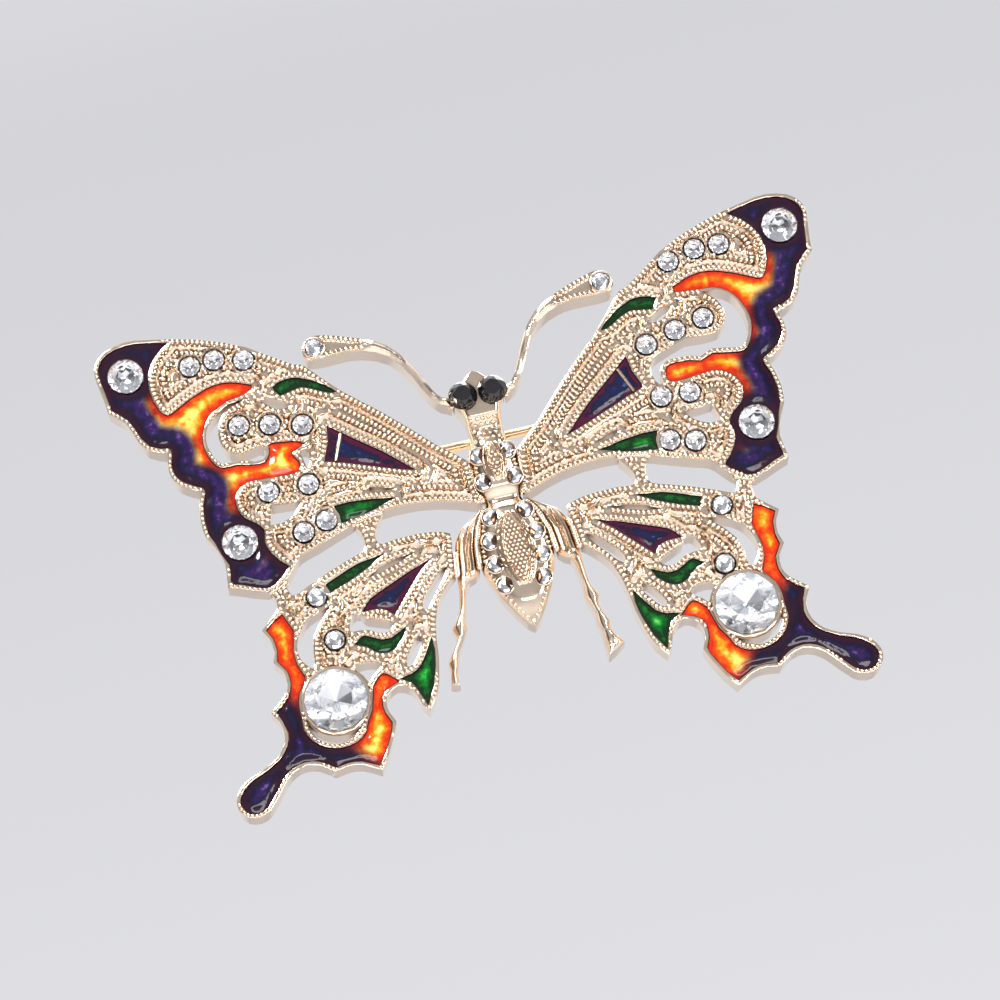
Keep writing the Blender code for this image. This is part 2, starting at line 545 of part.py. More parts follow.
def build_forewing(name, side, parts, cutters, materials):
    holes = list(FOREWING_HOLES)
    holes += [SCROLL_HOLE_RIGHT] if side > 0 else [SCROLL_HOLE_LEFT, ROOT_HOLE_LEFT]
    polygons = [mirrored(smooth(o), side) for o in [FOREWING] + holes]
    wing = slab(f"forewing_casting_{name}", polygons, FRONT, BACK)
    link(wing, parts, materials["gold"])

    band = fore_band(side)
    rings = [circle((x * side, z), MEDIUM_STONE[0] + GAP, MEDIUM_SIDES) for x, z in MEDIUM_PLACES.values()]
    enamel(f"forewing_band_enamel_{name}", [band] + rings, parts, materials["purple"])
    fields = [band] + build_fields(FORE_ENAMELS, name, side, parts, materials)
    cut_pockets(wing, fields, cutters)

    cut_seats(wing, MEDIUM_PLACES.values(), side, MEDIUM_STONE, MEDIUM_SIDES, cutters)
    for label, place in MEDIUM_PLACES.items():
        stone(f"{label}_{name}", MEDIUM_STONE, place, side, MEDIUM_SIDES, parts, materials["glass"])
    rows = dict(SMALL_STONES, lower_leaf_stone=LOWER_LEAF_STONES[name])
    cut_seats(wing, [p for row in rows.values() for p in row], side, SMALL_STONE, SMALL_SIDES, cutters)
    for label, places in rows.items():
        for number, place in enumerate(places, 1):
            full = f"{label}_{number}_{name}"
            stone(full, SMALL_STONE, place, side, SMALL_SIDES, parts, materials["glass"])


def build_hindwing(name, side, parts, cutters, materials):
    polygons = [mirrored(smooth(o), side) for o in [HINDWING] + HINDWING_HOLES]
    polygons.append(mirrored(crescent_gap(), side))
    wing = slab(f"hindwing_casting_{name}", polygons, FRONT, BACK)
    link(wing, parts, materials["gold"])
    cut_pockets(wing, build_fields(HIND_ENAMELS, name, side, parts, materials), cutters)

    ring = circle((LARGE[0] * side, LARGE[1]), LARGE_STONE[0] + GAP + BEZEL_WALL, LARGE_SIDES)
    bezel = slab(f"bezel_{name}", [ring], FRONT - BEZEL_HEIGHT, FRONT + POCKET_DEPTH)
    combine(wing, bezel, "UNION", cutters)
    cut_seats(wing, [LARGE], side, LARGE_STONE, LARGE_SIDES, cutters)
    stone(f"large_stone_{name}", LARGE_STONE, LARGE, side, LARGE_SIDES, parts, materials["glass"])


def build_eyes(parts, jet):
    """Flat-backed stones glued on the head."""
    radius, crown, edge = EYE
    front = FRONT - BODY_RISE
    profile = [
        (0.0, crown + edge), (radius * EYE_TABLE_SHARE, crown + edge), (radius, edge),
        (radius * EYE_FOOT_SHARE, GAP), (0.0, GAP),
    ]
    for name, side in SIDES.items():
        place = (EYE_PLACE[0] * side, front, EYE_PLACE[1])
        eye = turned(f"eye_stone_{name}", profile, (0, -1, 0), place, EYE_SIDES)
        link(eye, parts, jet)


def cylinder(name, radius, low, high):
    """A round bar on the hinge's axis, from z = low to z = high."""
    profile = [(0.0, high), (radius, high), (radius, low), (0.0, low)]
    return turned(name, profile, (0, 0, 1), (HINGE_X, 0, 0), ROUND_STEPS)


def build_hinge(parts, cutters, steel):
    """Two ears on a foot plate, a rivet through them and the pin stem turning on it."""
    foot_back = BACK + GAP + FOOT_WALL
    bracket = box(
        "hinge_bracket", (HINGE_X - FOOT_HALF_X, BACK + GAP, -FOOT_HALF_Z),
        (HINGE_X + FOOT_HALF_X, foot_back, FOOT_HALF_Z),
    )
    link(bracket, parts, steel)
    for end, sign in (("top", 1), ("bottom", -1)):
        low, high = sorted((sign * EAR_INNER, sign * (EAR_INNER + EAR_WALL)))
        post = box(
            f"ear_{end}", (HINGE_X - EAR_RADIUS, foot_back - OVERLAP, low),
            (HINGE_X + EAR_RADIUS, 0.0, high),
        )
        combine(bracket, post, "UNION", cutters)
        combine(bracket, cylinder(f"ear_{end}_round", EAR_RADIUS, low, high), "UNION", cutters)
    bore = cylinder("ear_bore", RIVET_RADIUS + EAR_CLEARANCE, -CUT_REACH, CUT_REACH)
    combine(bracket, bore, "DIFFERENCE", cutters)

    reach = EAR_INNER + EAR_WALL + RIVET_HEAD_GAP
    edge = reach + RIVET_HEAD_EDGE
    crown = reach + RIVET_HEAD_HEIGHT
    upper_half = [
        (0.0, crown), (RIVET_HEAD * RIVET_CROWN_SHARE, crown), (RIVET_HEAD, edge), (RIVET_HEAD, reach),
        (RIVET_RADIUS, reach),
    ]
    profile = upper_half + [(radius, -height) for radius, height in reversed(upper_half)]
    link(turned("hinge_rivet", profile, (0, 0, 1), (HINGE_X, 0, 0), ROUND_STEPS), parts, steel)

    pin = cylinder("pin_stem", EYE_RADIUS, -EYE_HALF, EYE_HALF)
    link(pin, parts, steel)
    length = PIN_TIP_X - HINGE_X
    wire = [(0.0, length), (PIN_RADIUS, length - PIN_POINT), (PIN_RADIUS, WIRE_START), (0.0, WIRE_START)]
    stem = turned("pin_wire", wire, (1, 0, 0), (HINGE_X, 0, 0), WIRE_STEPS)
    combine(pin, stem, "UNION", cutters)
    bore = cylinder("pin_bore", RIVET_RADIUS + EYE_CLEARANCE, -CUT_REACH, CUT_REACH)
    combine(pin, bore, "DIFFERENCE", cutters)


def open_ring(name, bore, radius, half, mouth=MOUTH, steps=RING_STEPS):
    """A ring about the pin's axis with a mouth that opens to +Y."""
    arc = [mouth + (2 * math.pi - 2 * mouth) * i / steps for i in range(steps + 1)]
    outline = [Vector((radius * math.cos(a), radius * math.sin(a))) for a in arc]
    outline += [Vector((bore * math.cos(a), bore * math.sin(a))) for a in reversed(arc)]
    ring = slab(name, [outline], -half, half)
    # The slab lies across Y; it is turned so that its outline's x is +Y and its y is +Z.
    turn = Matrix(((0, 1, 0), (1, 0, 0), (0, 0, 1))).to_4x4()
    ring.data.transform(Matrix.Translation((CATCH_X * MM, 0, 0)) @ turn)
    ring.data.flip_normals()
    return ring


def build_catch(parts, cutters, steel):
    """A fixed open ring on a foot plate, and the sleeve that turns inside it to shut the mouth."""
    base = box(
        "catch_base", (CATCH_X - FOOT_HALF_X, BACK + GAP, -FOOT_HALF_Z),
        (CATCH_X + FOOT_HALF_X, BACK + GAP + FOOT_WALL, FOOT_HALF_Z),
    )
    link(base, parts, steel)
    combine(base, open_ring("catch_ring", RING_BORE, RING_RADIUS, RING_HALF), "UNION", cutters)
    post = box(
        "catch_post", (CATCH_X - RING_HALF, BACK + OVERLAP, -POST_HALF_Z),
        (CATCH_X + RING_HALF, POST_BACK, POST_HALF_Z),
    )
    combine(base, post, "UNION", cutters)

    sleeve = open_ring("catch_sleeve", SLEEVE_BORE, SLEEVE_RADIUS, SLEEVE_HALF)
    link(sleeve, parts, steel)
    flange_half = (SLEEVE_HALF - RING_HALF - GAP - FLANGE_INSET) / 2
    flange_middle = SLEEVE_HALF - FLANGE_INSET - flange_half
    for end, sign in (("inner", -1), ("outer", 1)):
        bore = SLEEVE_BORE + FLANGE_BORE_STEP
        flange = open_ring(f"flange_{end}", bore, FLANGE_RADIUS, flange_half, FLANGE_MOUTH, FLANGE_STEPS)
        flange.data.transform(Matrix.Translation((sign * flange_middle * MM, 0, 0)))
        combine(sleeve, flange, "UNION", cutters)
    tab_half = flange_half - FLANGE_INSET
    tab = box(
        "thumb_tab", (-tab_half, FLANGE_RADIUS - OVERLAP, -TAB_HALF), (tab_half, TAB_REACH, TAB_HALF),
    )
    spot = Matrix.Translation(((CATCH_X + flange_middle) * MM, 0, 0))
    tab.data.transform(spot @ Matrix.Rotation(TAB_ANGLE, 4, "X"))
    combine(sleeve, tab, "UNION", cutters)


def main():
    clear_scene()
    parts = new_collection("butterfly_brooch")
    cutters = new_collection("cutters")
    cutters.hide_render = True
    materials = {
        "gold": make_material("pale_gold_plating", (0.83, 0.62, 0.43), 0.22, 1.0),
        "steel": make_material("gold_plated_steel", (0.80, 0.60, 0.38), 0.2, 1.0),
        "purple": make_material("purple_enamel", (0.04, 0.02, 0.12), 0.08, 0.0),
        "green": make_material("green_enamel", (0.01, 0.16, 0.04), 0.08, 0.0),
        "glass": make_material("clear_stone", (0.85, 0.86, 0.88), 0.03, 0.0),
        "jet": make_material("black_stone", (0.01, 0.01, 0.01), 0.05, 0.0),
    }
    build_body(parts, materials["gold"])
    build_limbs(parts, materials["gold"])
    for name, side in SIDES.items():
        build_forewing(name, side, parts, cutters, materials)
        build_hindwing(name, side, parts, cutters, materials)
    build_eyes(parts, materials["jet"])
    build_hinge(parts, cutters, materials["steel"])
    build_catch(parts, cutters, materials["steel"])


main()
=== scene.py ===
"""Looks of the butterfly brooch: beaded rims, ridges, domed enamel, cut stones and a modelled body on
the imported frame. Lengths are in millimetres, except those of the stage's lamps and floor, in metres."""

import math

import bmesh
import bpy
import numpy as np
from mathutils import Matrix, Vector
from mathutils.geometry import delaunay_2d_cdt


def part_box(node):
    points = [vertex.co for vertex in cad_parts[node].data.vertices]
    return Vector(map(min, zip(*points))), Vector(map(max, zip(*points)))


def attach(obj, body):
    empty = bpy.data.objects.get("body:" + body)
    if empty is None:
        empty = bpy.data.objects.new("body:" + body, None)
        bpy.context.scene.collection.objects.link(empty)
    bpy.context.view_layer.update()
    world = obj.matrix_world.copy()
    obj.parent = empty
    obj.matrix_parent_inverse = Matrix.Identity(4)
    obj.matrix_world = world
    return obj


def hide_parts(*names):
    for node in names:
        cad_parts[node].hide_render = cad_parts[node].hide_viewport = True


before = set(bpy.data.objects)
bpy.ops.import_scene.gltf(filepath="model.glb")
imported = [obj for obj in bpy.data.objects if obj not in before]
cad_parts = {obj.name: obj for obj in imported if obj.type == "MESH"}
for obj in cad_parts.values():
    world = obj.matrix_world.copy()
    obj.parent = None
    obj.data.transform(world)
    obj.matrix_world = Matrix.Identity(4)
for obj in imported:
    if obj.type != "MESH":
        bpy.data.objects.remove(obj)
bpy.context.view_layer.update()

MM = 0.001

# y of the flat fronts and of the back
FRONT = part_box("forewing_casting_right")[0].y / MM
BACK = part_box("forewing_casting_right")[1].y / MM
BODY_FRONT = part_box("body_casting")[0].y / MM
ENAMEL_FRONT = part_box("forewing_wedge_enamel_right")[0].y / MM
SIDES = {"left": -1, "right": 1}

# Beads in rows
BEAD_SIDES = 8
BEAD_PITCH = 0.47
BEAD_ALONG = 0.2
BEAD_ACROSS = 0.3
BEAD_HEIGHT = 0.25
BEAD_SPACE = 0.34       # rows that run closer than this share their beads
BEAD_OVERHANG = 0.12    # how much nearer than its inset a full-width bead may come to another edge
BEAD_SEAT_GAP = 0.3     # from a stone's girdle to the middle of a bead

# The rows along the metal's edges: inset from the edge, share of the full width, rise above the flat front
BEAD_ROWS = ((0.3, 1.0, 0.1), (0.21, 0.66, 0.03), (1.4, 1.0, 0.18))

# Chased relief of the wings: ridges at set distances from the metal's edges and round the stones,
# each with its place, width and height
EDGE_RIDGES = ((0.3, 0.2, 0.12), (0.88, 0.2, 0.46), (1.4, 0.18, 0.16), (1.95, 0.2, 0.42))
SEAT_RIDGE = (0.3, 0.13, 0.36)
RELIEF_STEP = 0.17
RELIEF_FLOOR = 0.02
RELIEF_SUNK = 0.05
SEAT_LOOP_REACH = 0.25  # a hole whose middle is this near to a stone's is its seat

# The grained field between the ridges
GRAIN_PITCH = 0.62
GRAIN_HEIGHT = 0.13
GRAIN_SLANTS = (0.6, 0.4)

# Distances over which the relief starts, from the metal's edges or from the stones' girdles
RIDGES_FROM_SEATS = (0.45, 0.65)
FRAMES_FROM_EDGES = (0.2, 0.4)
FIELD_FROM_EDGES = (2.1, 2.4)
FIELD_FROM_SEATS = (0.45, 0.6)
SEAT_SLOPE = 0.1
SEAT_LOWEST = 0.05      # share of the relief's height that is left at a girdle

# Solder over the gaps between castings
SEAMS = (
    ("forewing_casting", "hindwing_casting"), ("forewing_casting", "body_casting"),
    ("leg", "body_casting"), ("leg", "hindwing_casting"), ("antenna", "body_casting"),
)
SEAM_STEP = 0.22
SEAM_REACH = 0.26
SEAM_RADIUS = 0.36
SEAM_HEIGHT = 0.3
SEAM_SUNK = 0.12

# The gold bar in the forewing's wedge, which ends where a line at its inset leaves the wedge
BAR_INSET = 0.95
BAR_HALF_WIDTH = 0.2
BAR_HEIGHT = 0.44
BAR_ROWS = 12
BAR_SECTION = 9
BAR_SAMPLES = 401

# Enamel
ENAMEL_STEP = 0.3
ENAMEL_DOME = 0.2
ENAMEL_SHOULDER = 0.6
ENAMEL_DEPTH = 0.5
GRID_CLEARANCE = 0.45   # share of a plate's step that its inner points keep from its outline

# Stones: girdle radius, crown height, pavilion depth
SMALL_CUT = (0.93, 0.42, 0.6)
SHALLOW_CUT = (0.9, 0.3, 0.14)
BODY_CUT = (0.78, 0.24, 0.12)
MEDIUM_CUT = (1.68, 0.72, 1.0)
LARGE_CUT = (2.95, 0.85, 1.1)
EYE_CUT = (1.36, 0.95, 0.2)

# How far the girdles stand in front of the metal under them
STONE_LIFT = 0.12
SHALLOW_LIFT = 0.17
BODY_STONE_LIFT = 0.13
LARGE_STONE_LIFT = 0.06

# Turns of the stones in radians, so that they don't all glint alike
STONE_TURN = 0.37       # from one stone with a node to the next
ANTENNA_STONE_TURN = 0.6

# Hindwing stones without a CAD node: the enamel they stand by, how far outwards from its box and above
# its lowest point
HIND_STONES = {
    "left": (("hindwing_finger_enamel", 1.1, -0.2), ("hindwing_crescent_enamel", 1.8, 2.2)),
    "right": (("hindwing_finger_enamel", 1.7, -0.5), ("hindwing_crescent_enamel", 2.0, 0.8)),
}
FOREWING_STONES = ("top_leaf", "inner_lobe", "lower_leaf", "finger_stone", "upper_medium", "lower_medium")

# Stones on the body: shares of the way from neck to waist and from waist to tip, and of the half width
THORAX_STONES = (0.36, 0.74)
ABDOMEN_STONES = (0.13, 0.31, 0.49, 0.66)
BODY_STONE_REACH = 0.66

# Collars round the stones that have no node: radius beyond the girdle, tube radius, depth for its width
BODY_COLLAR = (0.05, 0.09, 1.8)
ANTENNA_COLLAR = (0.06, 0.12, 1.6)
COLLAR_LIFT = 0.04      # of the body's collars, in front of the metal
COLLAR_SIDES = 40
COLLAR_SECTION = 10

# Orange enamel: on the forewing far inside the outline and away from the medium stones, on the hindwing
# away from the tail. Each pair says where the change starts and where it ends.
FOREWING_WARM = (2.2, 3.5)
FOREWING_STONE_DARK = (0.8, 2.6)
HINDWING_WARM = (3.0, 1.2)

# Body: rows along it, points across it, and how its section bulges
BODY_ROWS = 300
BODY_POINTS = 91
BODY_POWER = 2.4
HEAD_POWER = 7.4
BODY_ROUNDNESS = 0.55
BODY_RIM_DROP = 0.5     # the silhouette's rim, behind the wings' front
BODY_DROP = 0.32        # the middle, behind the CAD body's front
HEAD_DROP = 0.02
HEAD_FROM_NECK = (0.6, 1.5)
WAIST_DIP = (0.8, 0.55)     # width and depth
NECK_DIP = (0.7, 0.3)
TIP_LENGTH = 3.0
TIP_DROP = 0.7
END_GAP = 0.03          # between the CAD body's ends and the first and last rows
MARQUISE_RIMS = ((0.0, 0.12, 0.26), (0.42, 0.11, 0.2))     # place, width and height
MARQUISE_END = 0.25     # the rims sink where the almond is narrower than this

# Bead rows down the body's sides, and where they stop
SIDE_BEAD_INSET = 0.42
SIDE_BEAD_LEAST = 0.2   # nearest to the middle
SIDE_BEADS_FROM_TIP = 0.9
SIDE_BEADS_FROM_NECK = 0.6
SIDE_BEADS_FROM_WAIST = 0.9

# Grains that fill the body's almonds, and those on its neck
GRANULE_PITCH = 0.42
GRANULE_INSET = 0.2
GRANULE_ENDS = (0.5, 0.3)
NECK_GRAIN_PITCH = 0.55
NECK_GRAIN_INSET = 0.5
NECK_GRAIN_SPAN = (0.9, 1.3)    # below and above the neck
ROW_SHARE = 0.87        # of the pitch, from one staggered row to the next

# How deep each kind stands in the body, and its share of the full width
SIDE_BEAD = (0.06, 0.9)
GRANULE = (0.04, 0.62)
NECK_GRAIN = (0.06, 0.8)

# Legs and antennae
LEG_ROWS = 130
LEG_POINTS = 30
LEG_END_GAP = 0.05
LEG_ROUNDING = 1.0
LEG_FLUTE = 0.14
LEG_FLUTED_FROM = (0.75, 1.1)       # half widths between which the flutes appear
ANTENNA_STONE_INSET = 1.15
ANTENNA_CLUB = (5.5, 4.0)       # the club starts and is whole this far inwards from its stone
ANTENNA_BEADED = 4.8    # the beads start this far inwards from the stone
ANTENNA_BEAD_GAP = 0.2  # from the stone's girdle to the middle of a bead
WIRE_RISE = 0.34
WIRE_SHOULDER = 0.28

# Finish: points that are this near become one, widths of the softened edges, and angles in degrees from
# which an edge is softened or is left sharp
WELD_GAP = 0.001
HARDWARE_BEVEL = 0.05
CASTING_BEVEL = 0.1
BEVEL_FROM_ANGLE = 40
SMOOTH_ENAMEL = 50
SMOOTH_LEG = 50
SMOOTH_GOLD = 60


# ---------------------------------------------------------------------------------------------
# Materials

def shader_of(name):
    material = bpy.data.materials.new(name)
    material.use_nodes = True
    tree = material.node_tree
    return material, tree, tree.nodes["Principled BSDF"]


def noise(tree, scale, detail=3.0):
    place = tree.nodes.new("ShaderNodeTexCoord")
    texture = tree.nodes.new("ShaderNodeTexNoise")
    texture.inputs["Scale"].default_value = scale
    texture.inputs["Detail"].default_value = detail
    tree.links.new(place.outputs["Object"], texture.inputs["Vector"])
    return texture.outputs["Fac"]


def ramp(tree, value, stops):
    node = tree.nodes.new("ShaderNodeValToRGB")
    while len(node.color_ramp.elements) < len(stops):
        node.color_ramp.elements.new(0.5)
    for element, (position, colour) in zip(node.color_ramp.elements, stops):
        element.position = position
        element.color = (*colour, 1.0)
    tree.links.new(value, node.inputs["Fac"])
    return node.outputs["Color"]


def blend_colours(tree, share, first, second):
    node = tree.nodes.new("ShaderNodeMix")
    node.data_type = "RGBA"
    tree.links.new(share, node.inputs[0])
    tree.links.new(first, node.inputs[6])
    tree.links.new(second, node.inputs[7])
    return node.outputs[2]


def bump(tree, shader, value, strength, distance_mm):
    node = tree.nodes.new("ShaderNodeBump")
    node.inputs["Strength"].default_value = strength
    node.inputs["Distance"].default_value = distance_mm * MM
    tree.links.new(value, node.inputs["Height"])
    tree.links.new(node.outputs["Normal"], shader.inputs["Normal"])


# Samples of the ambient occlusion that paints shade into the gold's hollows
AO_SAMPLES = 4
ROUGHEST = 1.9      # the rough patches, against the smooth ones
FOIL_FLECKS_AND_SPARKLE = (1500.0, 6.0, 0.9)        # scale, detail and strength of the foil's flecks seen through the enamel: random tone, whose lighter flecks are the foil's painted sparkle
RIM_SHADE = (0.6, -0.3)     # how much lighter the enamel is away from its rim, and at the rim


def gold(name, pale, painted_shade_colour, painted_shade_reach, rough, grain, grain_height):
    """Plating over a slightly uneven casting, with painted shade: its colour turns deep and warm in its
    hollows, where ambient occlusion finds nearby metal.
    """
    material, tree, shader = shader_of(name)
    shader.inputs["Metallic"].default_value = 1.0
    painted_shade_occlusion = tree.nodes.new("ShaderNodeAmbientOcclusion")
    painted_shade_occlusion.samples = AO_SAMPLES
    painted_shade_occlusion.inputs["Distance"].default_value = painted_shade_reach * MM
    # painted shade: where ambient occlusion finds nearby metal, the colour goes from pale to the deep shade
    # colour
    colour = ramp(tree, painted_shade_occlusion.outputs["AO"], [(0.15, painted_shade_colour), (0.85, pale)])
    tree.links.new(colour, shader.inputs["Base Color"])
    patches = ramp(tree, noise(tree, 900.0), [(0.35, (rough,) * 3), (0.75, (rough * ROUGHEST,) * 3)])
    tree.links.new(patches, shader.inputs["Roughness"])
    bump(tree, shader, noise(tree, grain), 0.5, grain_height)
    return material


def enamel(name, cool_stops, warm_stops=None):
    """Glossy enamel over foil, with the foil's sparkle painted into its colour as lighter flecks. Its mesh
    says how far a point is from the rim and how orange it is.
    """
    scale, detail, strength = FOIL_FLECKS_AND_SPARKLE
    material, tree, shader = shader_of(name)
    rim = tree.nodes.new("ShaderNodeAttribute")
    rim.attribute_name = "rim"
    flecks_and_sparkle = tree.nodes.new("ShaderNodeMath")
    flecks_and_sparkle.operation = "MULTIPLY_ADD"
    tree.links.new(noise(tree, scale, detail), flecks_and_sparkle.inputs[0])
    flecks_and_sparkle.inputs[1].default_value = strength
    shift = tree.nodes.new("ShaderNodeMath")
    shift.operation = "MULTIPLY_ADD"
    shift.inputs[1].default_value, shift.inputs[2].default_value = RIM_SHADE
    tree.links.new(rim.outputs["Fac"], shift.inputs[0])
    tree.links.new(shift.outputs[0], flecks_and_sparkle.inputs[2])
    # colour from the foil's random flecks: the lighter ones are the foil's painted sparkle
    colour = ramp(tree, flecks_and_sparkle.outputs[0], cool_stops)
    if warm_stops:
        warm = tree.nodes.new("ShaderNodeAttribute")
        warm.attribute_name = "warm"
        warm_colour = ramp(tree, flecks_and_sparkle.outputs[0], warm_stops)
        colour = blend_colours(tree, warm.outputs["Fac"], colour, warm_colour)
    tree.links.new(colour, shader.inputs["Base Color"])
    gloss = ramp(tree, noise(tree, 500.0), [(0.4, (0.04,) * 3), (0.7, (0.1,) * 3)])
    tree.links.new(gloss, shader.inputs["Roughness"])
    bump(tree, shader, noise(tree, 260.0, 1.0), 0.8, 0.3)
    return material


def clear_glass():
    material, tree, shader = shader_of("clear_cut_glass")
    tint = ramp(tree, noise(tree, 300.0), [(0.0, (0.95, 0.96, 0.99)), (1.0, (1.0, 1.0, 1.0))])
    tree.links.new(tint, shader.inputs["Base Color"])
    shader.inputs["Transmission Weight"].default_value = 1.0
    shader.inputs["Roughness"].default_value = 0.0
    shader.inputs["IOR"].default_value = 1.5
    return material


def foil():
    material, tree, shader = shader_of("stone_foil")
    shade = ramp(tree, noise(tree, 260.0), [(0.3, (0.86, 0.87, 0.9)), (0.7, (1.0, 1.0, 1.0))])
    tree.links.new(shade, shader.inputs["Base Color"])
    shader.inputs["Metallic"].default_value = 1.0
    shader.inputs["Roughness"].default_value = 0.11
    return material


def jet():
    material, tree, shader = shader_of("black_cut_glass")
    shade = ramp(tree, noise(tree, 400.0), [(0.3, (0.002, 0.002, 0.003)), (0.8, (0.012, 0.012, 0.015))])
    tree.links.new(shade, shader.inputs["Base Color"])
    shader.inputs["Roughness"].default_value = 0.04
    shader.inputs["IOR"].default_value = 1.65
    return material


# Enamel colours from dark to light, over the foil's flecks and their painted sparkle
PURPLE = [(0.3, (0.02, 0.001, 0.012)), (0.5, (0.005, 0.0015, 0.014)), (0.68, (0.006, 0.004, 0.038)),
          (0.84, (0.03, 0.006, 0.075)), (0.98, (0.13, 0.09, 0.25))]
ORANGE = [(0.25, (0.55, 0.02, 0.0)), (0.45, (0.88, 0.09, 0.0)), (0.6, (0.92, 0.3, 0.006)),
          (0.8, (1.0, 0.7, 0.14))]
GREEN = [(0.3, (0.0, 0.02, 0.002)), (0.5, (0.0, 0.11, 0.008)), (0.68, (0.002, 0.28, 0.02)),
         (0.9, (0.2, 0.62, 0.14))]
WEDGE = [(0.25, (0.06, 0.003, 0.025)), (0.45, (0.006, 0.003, 0.02)), (0.75, (0.004, 0.01, 0.06)),
         (0.97, (0.12, 0.16, 0.3))]

MATERIALS = {
    # Each gold's deep colour and its reach are painted shade in the hollows
    "gold": gold(
        "rose_gold_casting", pale=(0.97, 0.79, 0.61), painted_shade_colour=(0.2, 0.075, 0.02), painted_shade_reach=0.6, rough=0.1,
        grain=1600.0, grain_height=0.03,
    ),
    "wire": gold(
        "gold_plated_wire", pale=(0.95, 0.66, 0.4), painted_shade_colour=(0.45, 0.2, 0.06), painted_shade_reach=0.6, rough=0.12,
        grain=700.0, grain_height=0.01,
    ),
    "band": enamel("purple_orange_enamel", PURPLE, ORANGE),
    "wedge": enamel("blue_purple_enamel", WEDGE),
    "green": enamel("green_enamel_fill", GREEN),
    "glass": clear_glass(),
    "foil": foil(),
    "jet": jet(),
}


# ---------------------------------------------------------------------------------------------
# Reading the frame

SAME_Y = 0.01
FACES_FRONT = -0.9      # y of the normal


def face_loops(node, y):
    """The borders of a node's front faces at that y, as (x, z) arrays with the metal on their left."""
    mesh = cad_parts[node].data
    edges = set()
    for polygon in mesh.polygons:
        corners = [mesh.vertices[i].co / MM for i in polygon.vertices]
        if polygon.normal.y > FACES_FRONT or any(abs(c.y - y) > SAME_Y for c in corners):
            continue
        ring = [(round(c.x, 3), round(c.z, 3)) for c in corners]
        edges.update(zip(ring, ring[1:] + ring[:1]))
    following = {}
    for a, b in sorted(edges):
        if (b, a) not in edges and a != b:
            following.setdefault(a, []).append(b)
    loops = []
    while following:
        start = min(following)
        loop = [start]
        while loop[-1] in following:
            ends = following[loop[-1]]
            step = ends.pop(0)
            if not ends:
                del following[loop[-1]]
            if step == start:
                break
            loop.append(step)
        if len(loop) > 2:
            loops.append(np.array(loop))
    return loops


def inside(points, loops):
    """Which points are on the material that the loops bound, by counting crossings."""
    odd = np.zeros(len(points), bool)
    for loop in loops:
        ahead = np.roll(loop, -1, 0)
        for (x0, z0), (x1, z1) in zip(loop, ahead):
            if z0 == z1:
                continue
            spans = (points[:, 1] >= min(z0, z1)) & (points[:, 1] < max(z0, z1))
            odd ^= spans & (points[:, 0] < x0 + (points[:, 1] - z0) * (x1 - x0) / (z1 - z0))
    return odd


def distance(points, loops):
    """From each point to the nearest of the loops' edges."""
    best = np.full(len(points), np.inf)
    for loop in loops:
        for a, b in zip(loop, np.roll(loop, -1, 0)):
            best = np.minimum(best, segment_distance(points, a, b))
    return best


def segment_distance(points, a, b):
    run = b - a
    share = np.clip((points - a) @ run / max(run @ run, 1e-12), 0, 1)
    return np.linalg.norm(points - (a + share[:, None] * run), axis=1)


def extent(loop, z):
    """Lowest and highest x of a loop at a height."""
    ahead = np.roll(loop, -1, 0)
    cross = [
        x0 + (z - z0) * (x1 - x0) / (z1 - z0)
        for (x0, z0), (x1, z1) in zip(loop, ahead) if (z0 - z) * (z1 - z) < 0
    ]
    return (min(cross), max(cross)) if len(cross) > 1 else None


def node_centre(node):
    low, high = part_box(node)
    return (low + high) / 2 / MM


# ---------------------------------------------------------------------------------------------
# Mesh building

class Shell:
    """Points and faces of one piece, in millimetres."""

    def __init__(self):
        self.points = []
        self.faces = []

    def add(self, points, faces):
        first = len(self.points)
        self.points.extend(tuple(p) for p in points)
        self.faces.extend(tuple(first + i for i in face) for face in faces)

    def grid(self, rows):
        """Closed rows of equal length, joined to each other, with flat end faces."""
        count = len(rows[0])
        faces = []
        for r in range(len(rows) - 1):
            for c in range(count):
                d = (c + 1) % count
                faces.append((r * count + c, r * count + d, (r + 1) * count + d, (r + 1) * count + c))
        last = (len(rows) - 1) * count
        faces.append(tuple(reversed(range(count))))
        faces.append(tuple(range(last, last + count)))
        self.add([p for row in rows for p in row], faces)

    def piece(self, name, material, smooth_angle):
        """The piece as an object, smooth where its faces meet below that angle, in degrees."""
        mesh = bpy.data.meshes.new(name)
        mesh.from_pydata([Vector(p) * MM for p in self.points], [], self.faces)
        shape = bmesh.new()
        shape.from_mesh(mesh)
        bmesh.ops.recalc_face_normals(shape, faces=shape.faces)
        shape.to_mesh(mesh)
        shape.free()
        mesh.materials.append(material)
        mesh.shade_smooth()
        mesh.set_sharp_from_angle(angle=math.radians(smooth_angle))
        obj = bpy.data.objects.new(name, mesh)
        bpy.context.scene.collection.objects.link(obj)
        return obj


def bead_shape():
    """A closed low dome of unit size that reaches a little below z = 0."""
    points = []
    for reach, up in ((1.0, -0.2), (0.78, 0.66)):
        for i in range(BEAD_SIDES):
            turn = 2 * math.pi * i / BEAD_SIDES
            points.append((math.cos(turn) * reach, math.sin(turn) * reach, up))
    points.append((0.0, 0.0, 1.0))
    faces = [tuple(range(BEAD_SIDES))]
    for i in range(BEAD_SIDES):
        j = (i + 1) % BEAD_SIDES
        faces.append((i, j, BEAD_SIDES + j, BEAD_SIDES + i))
        faces.append((BEAD_SIDES + i, BEAD_SIDES + j, 2 * BEAD_SIDES))
    return np.array(points), faces


BEAD_POINTS, BEAD_FACES = bead_shape()


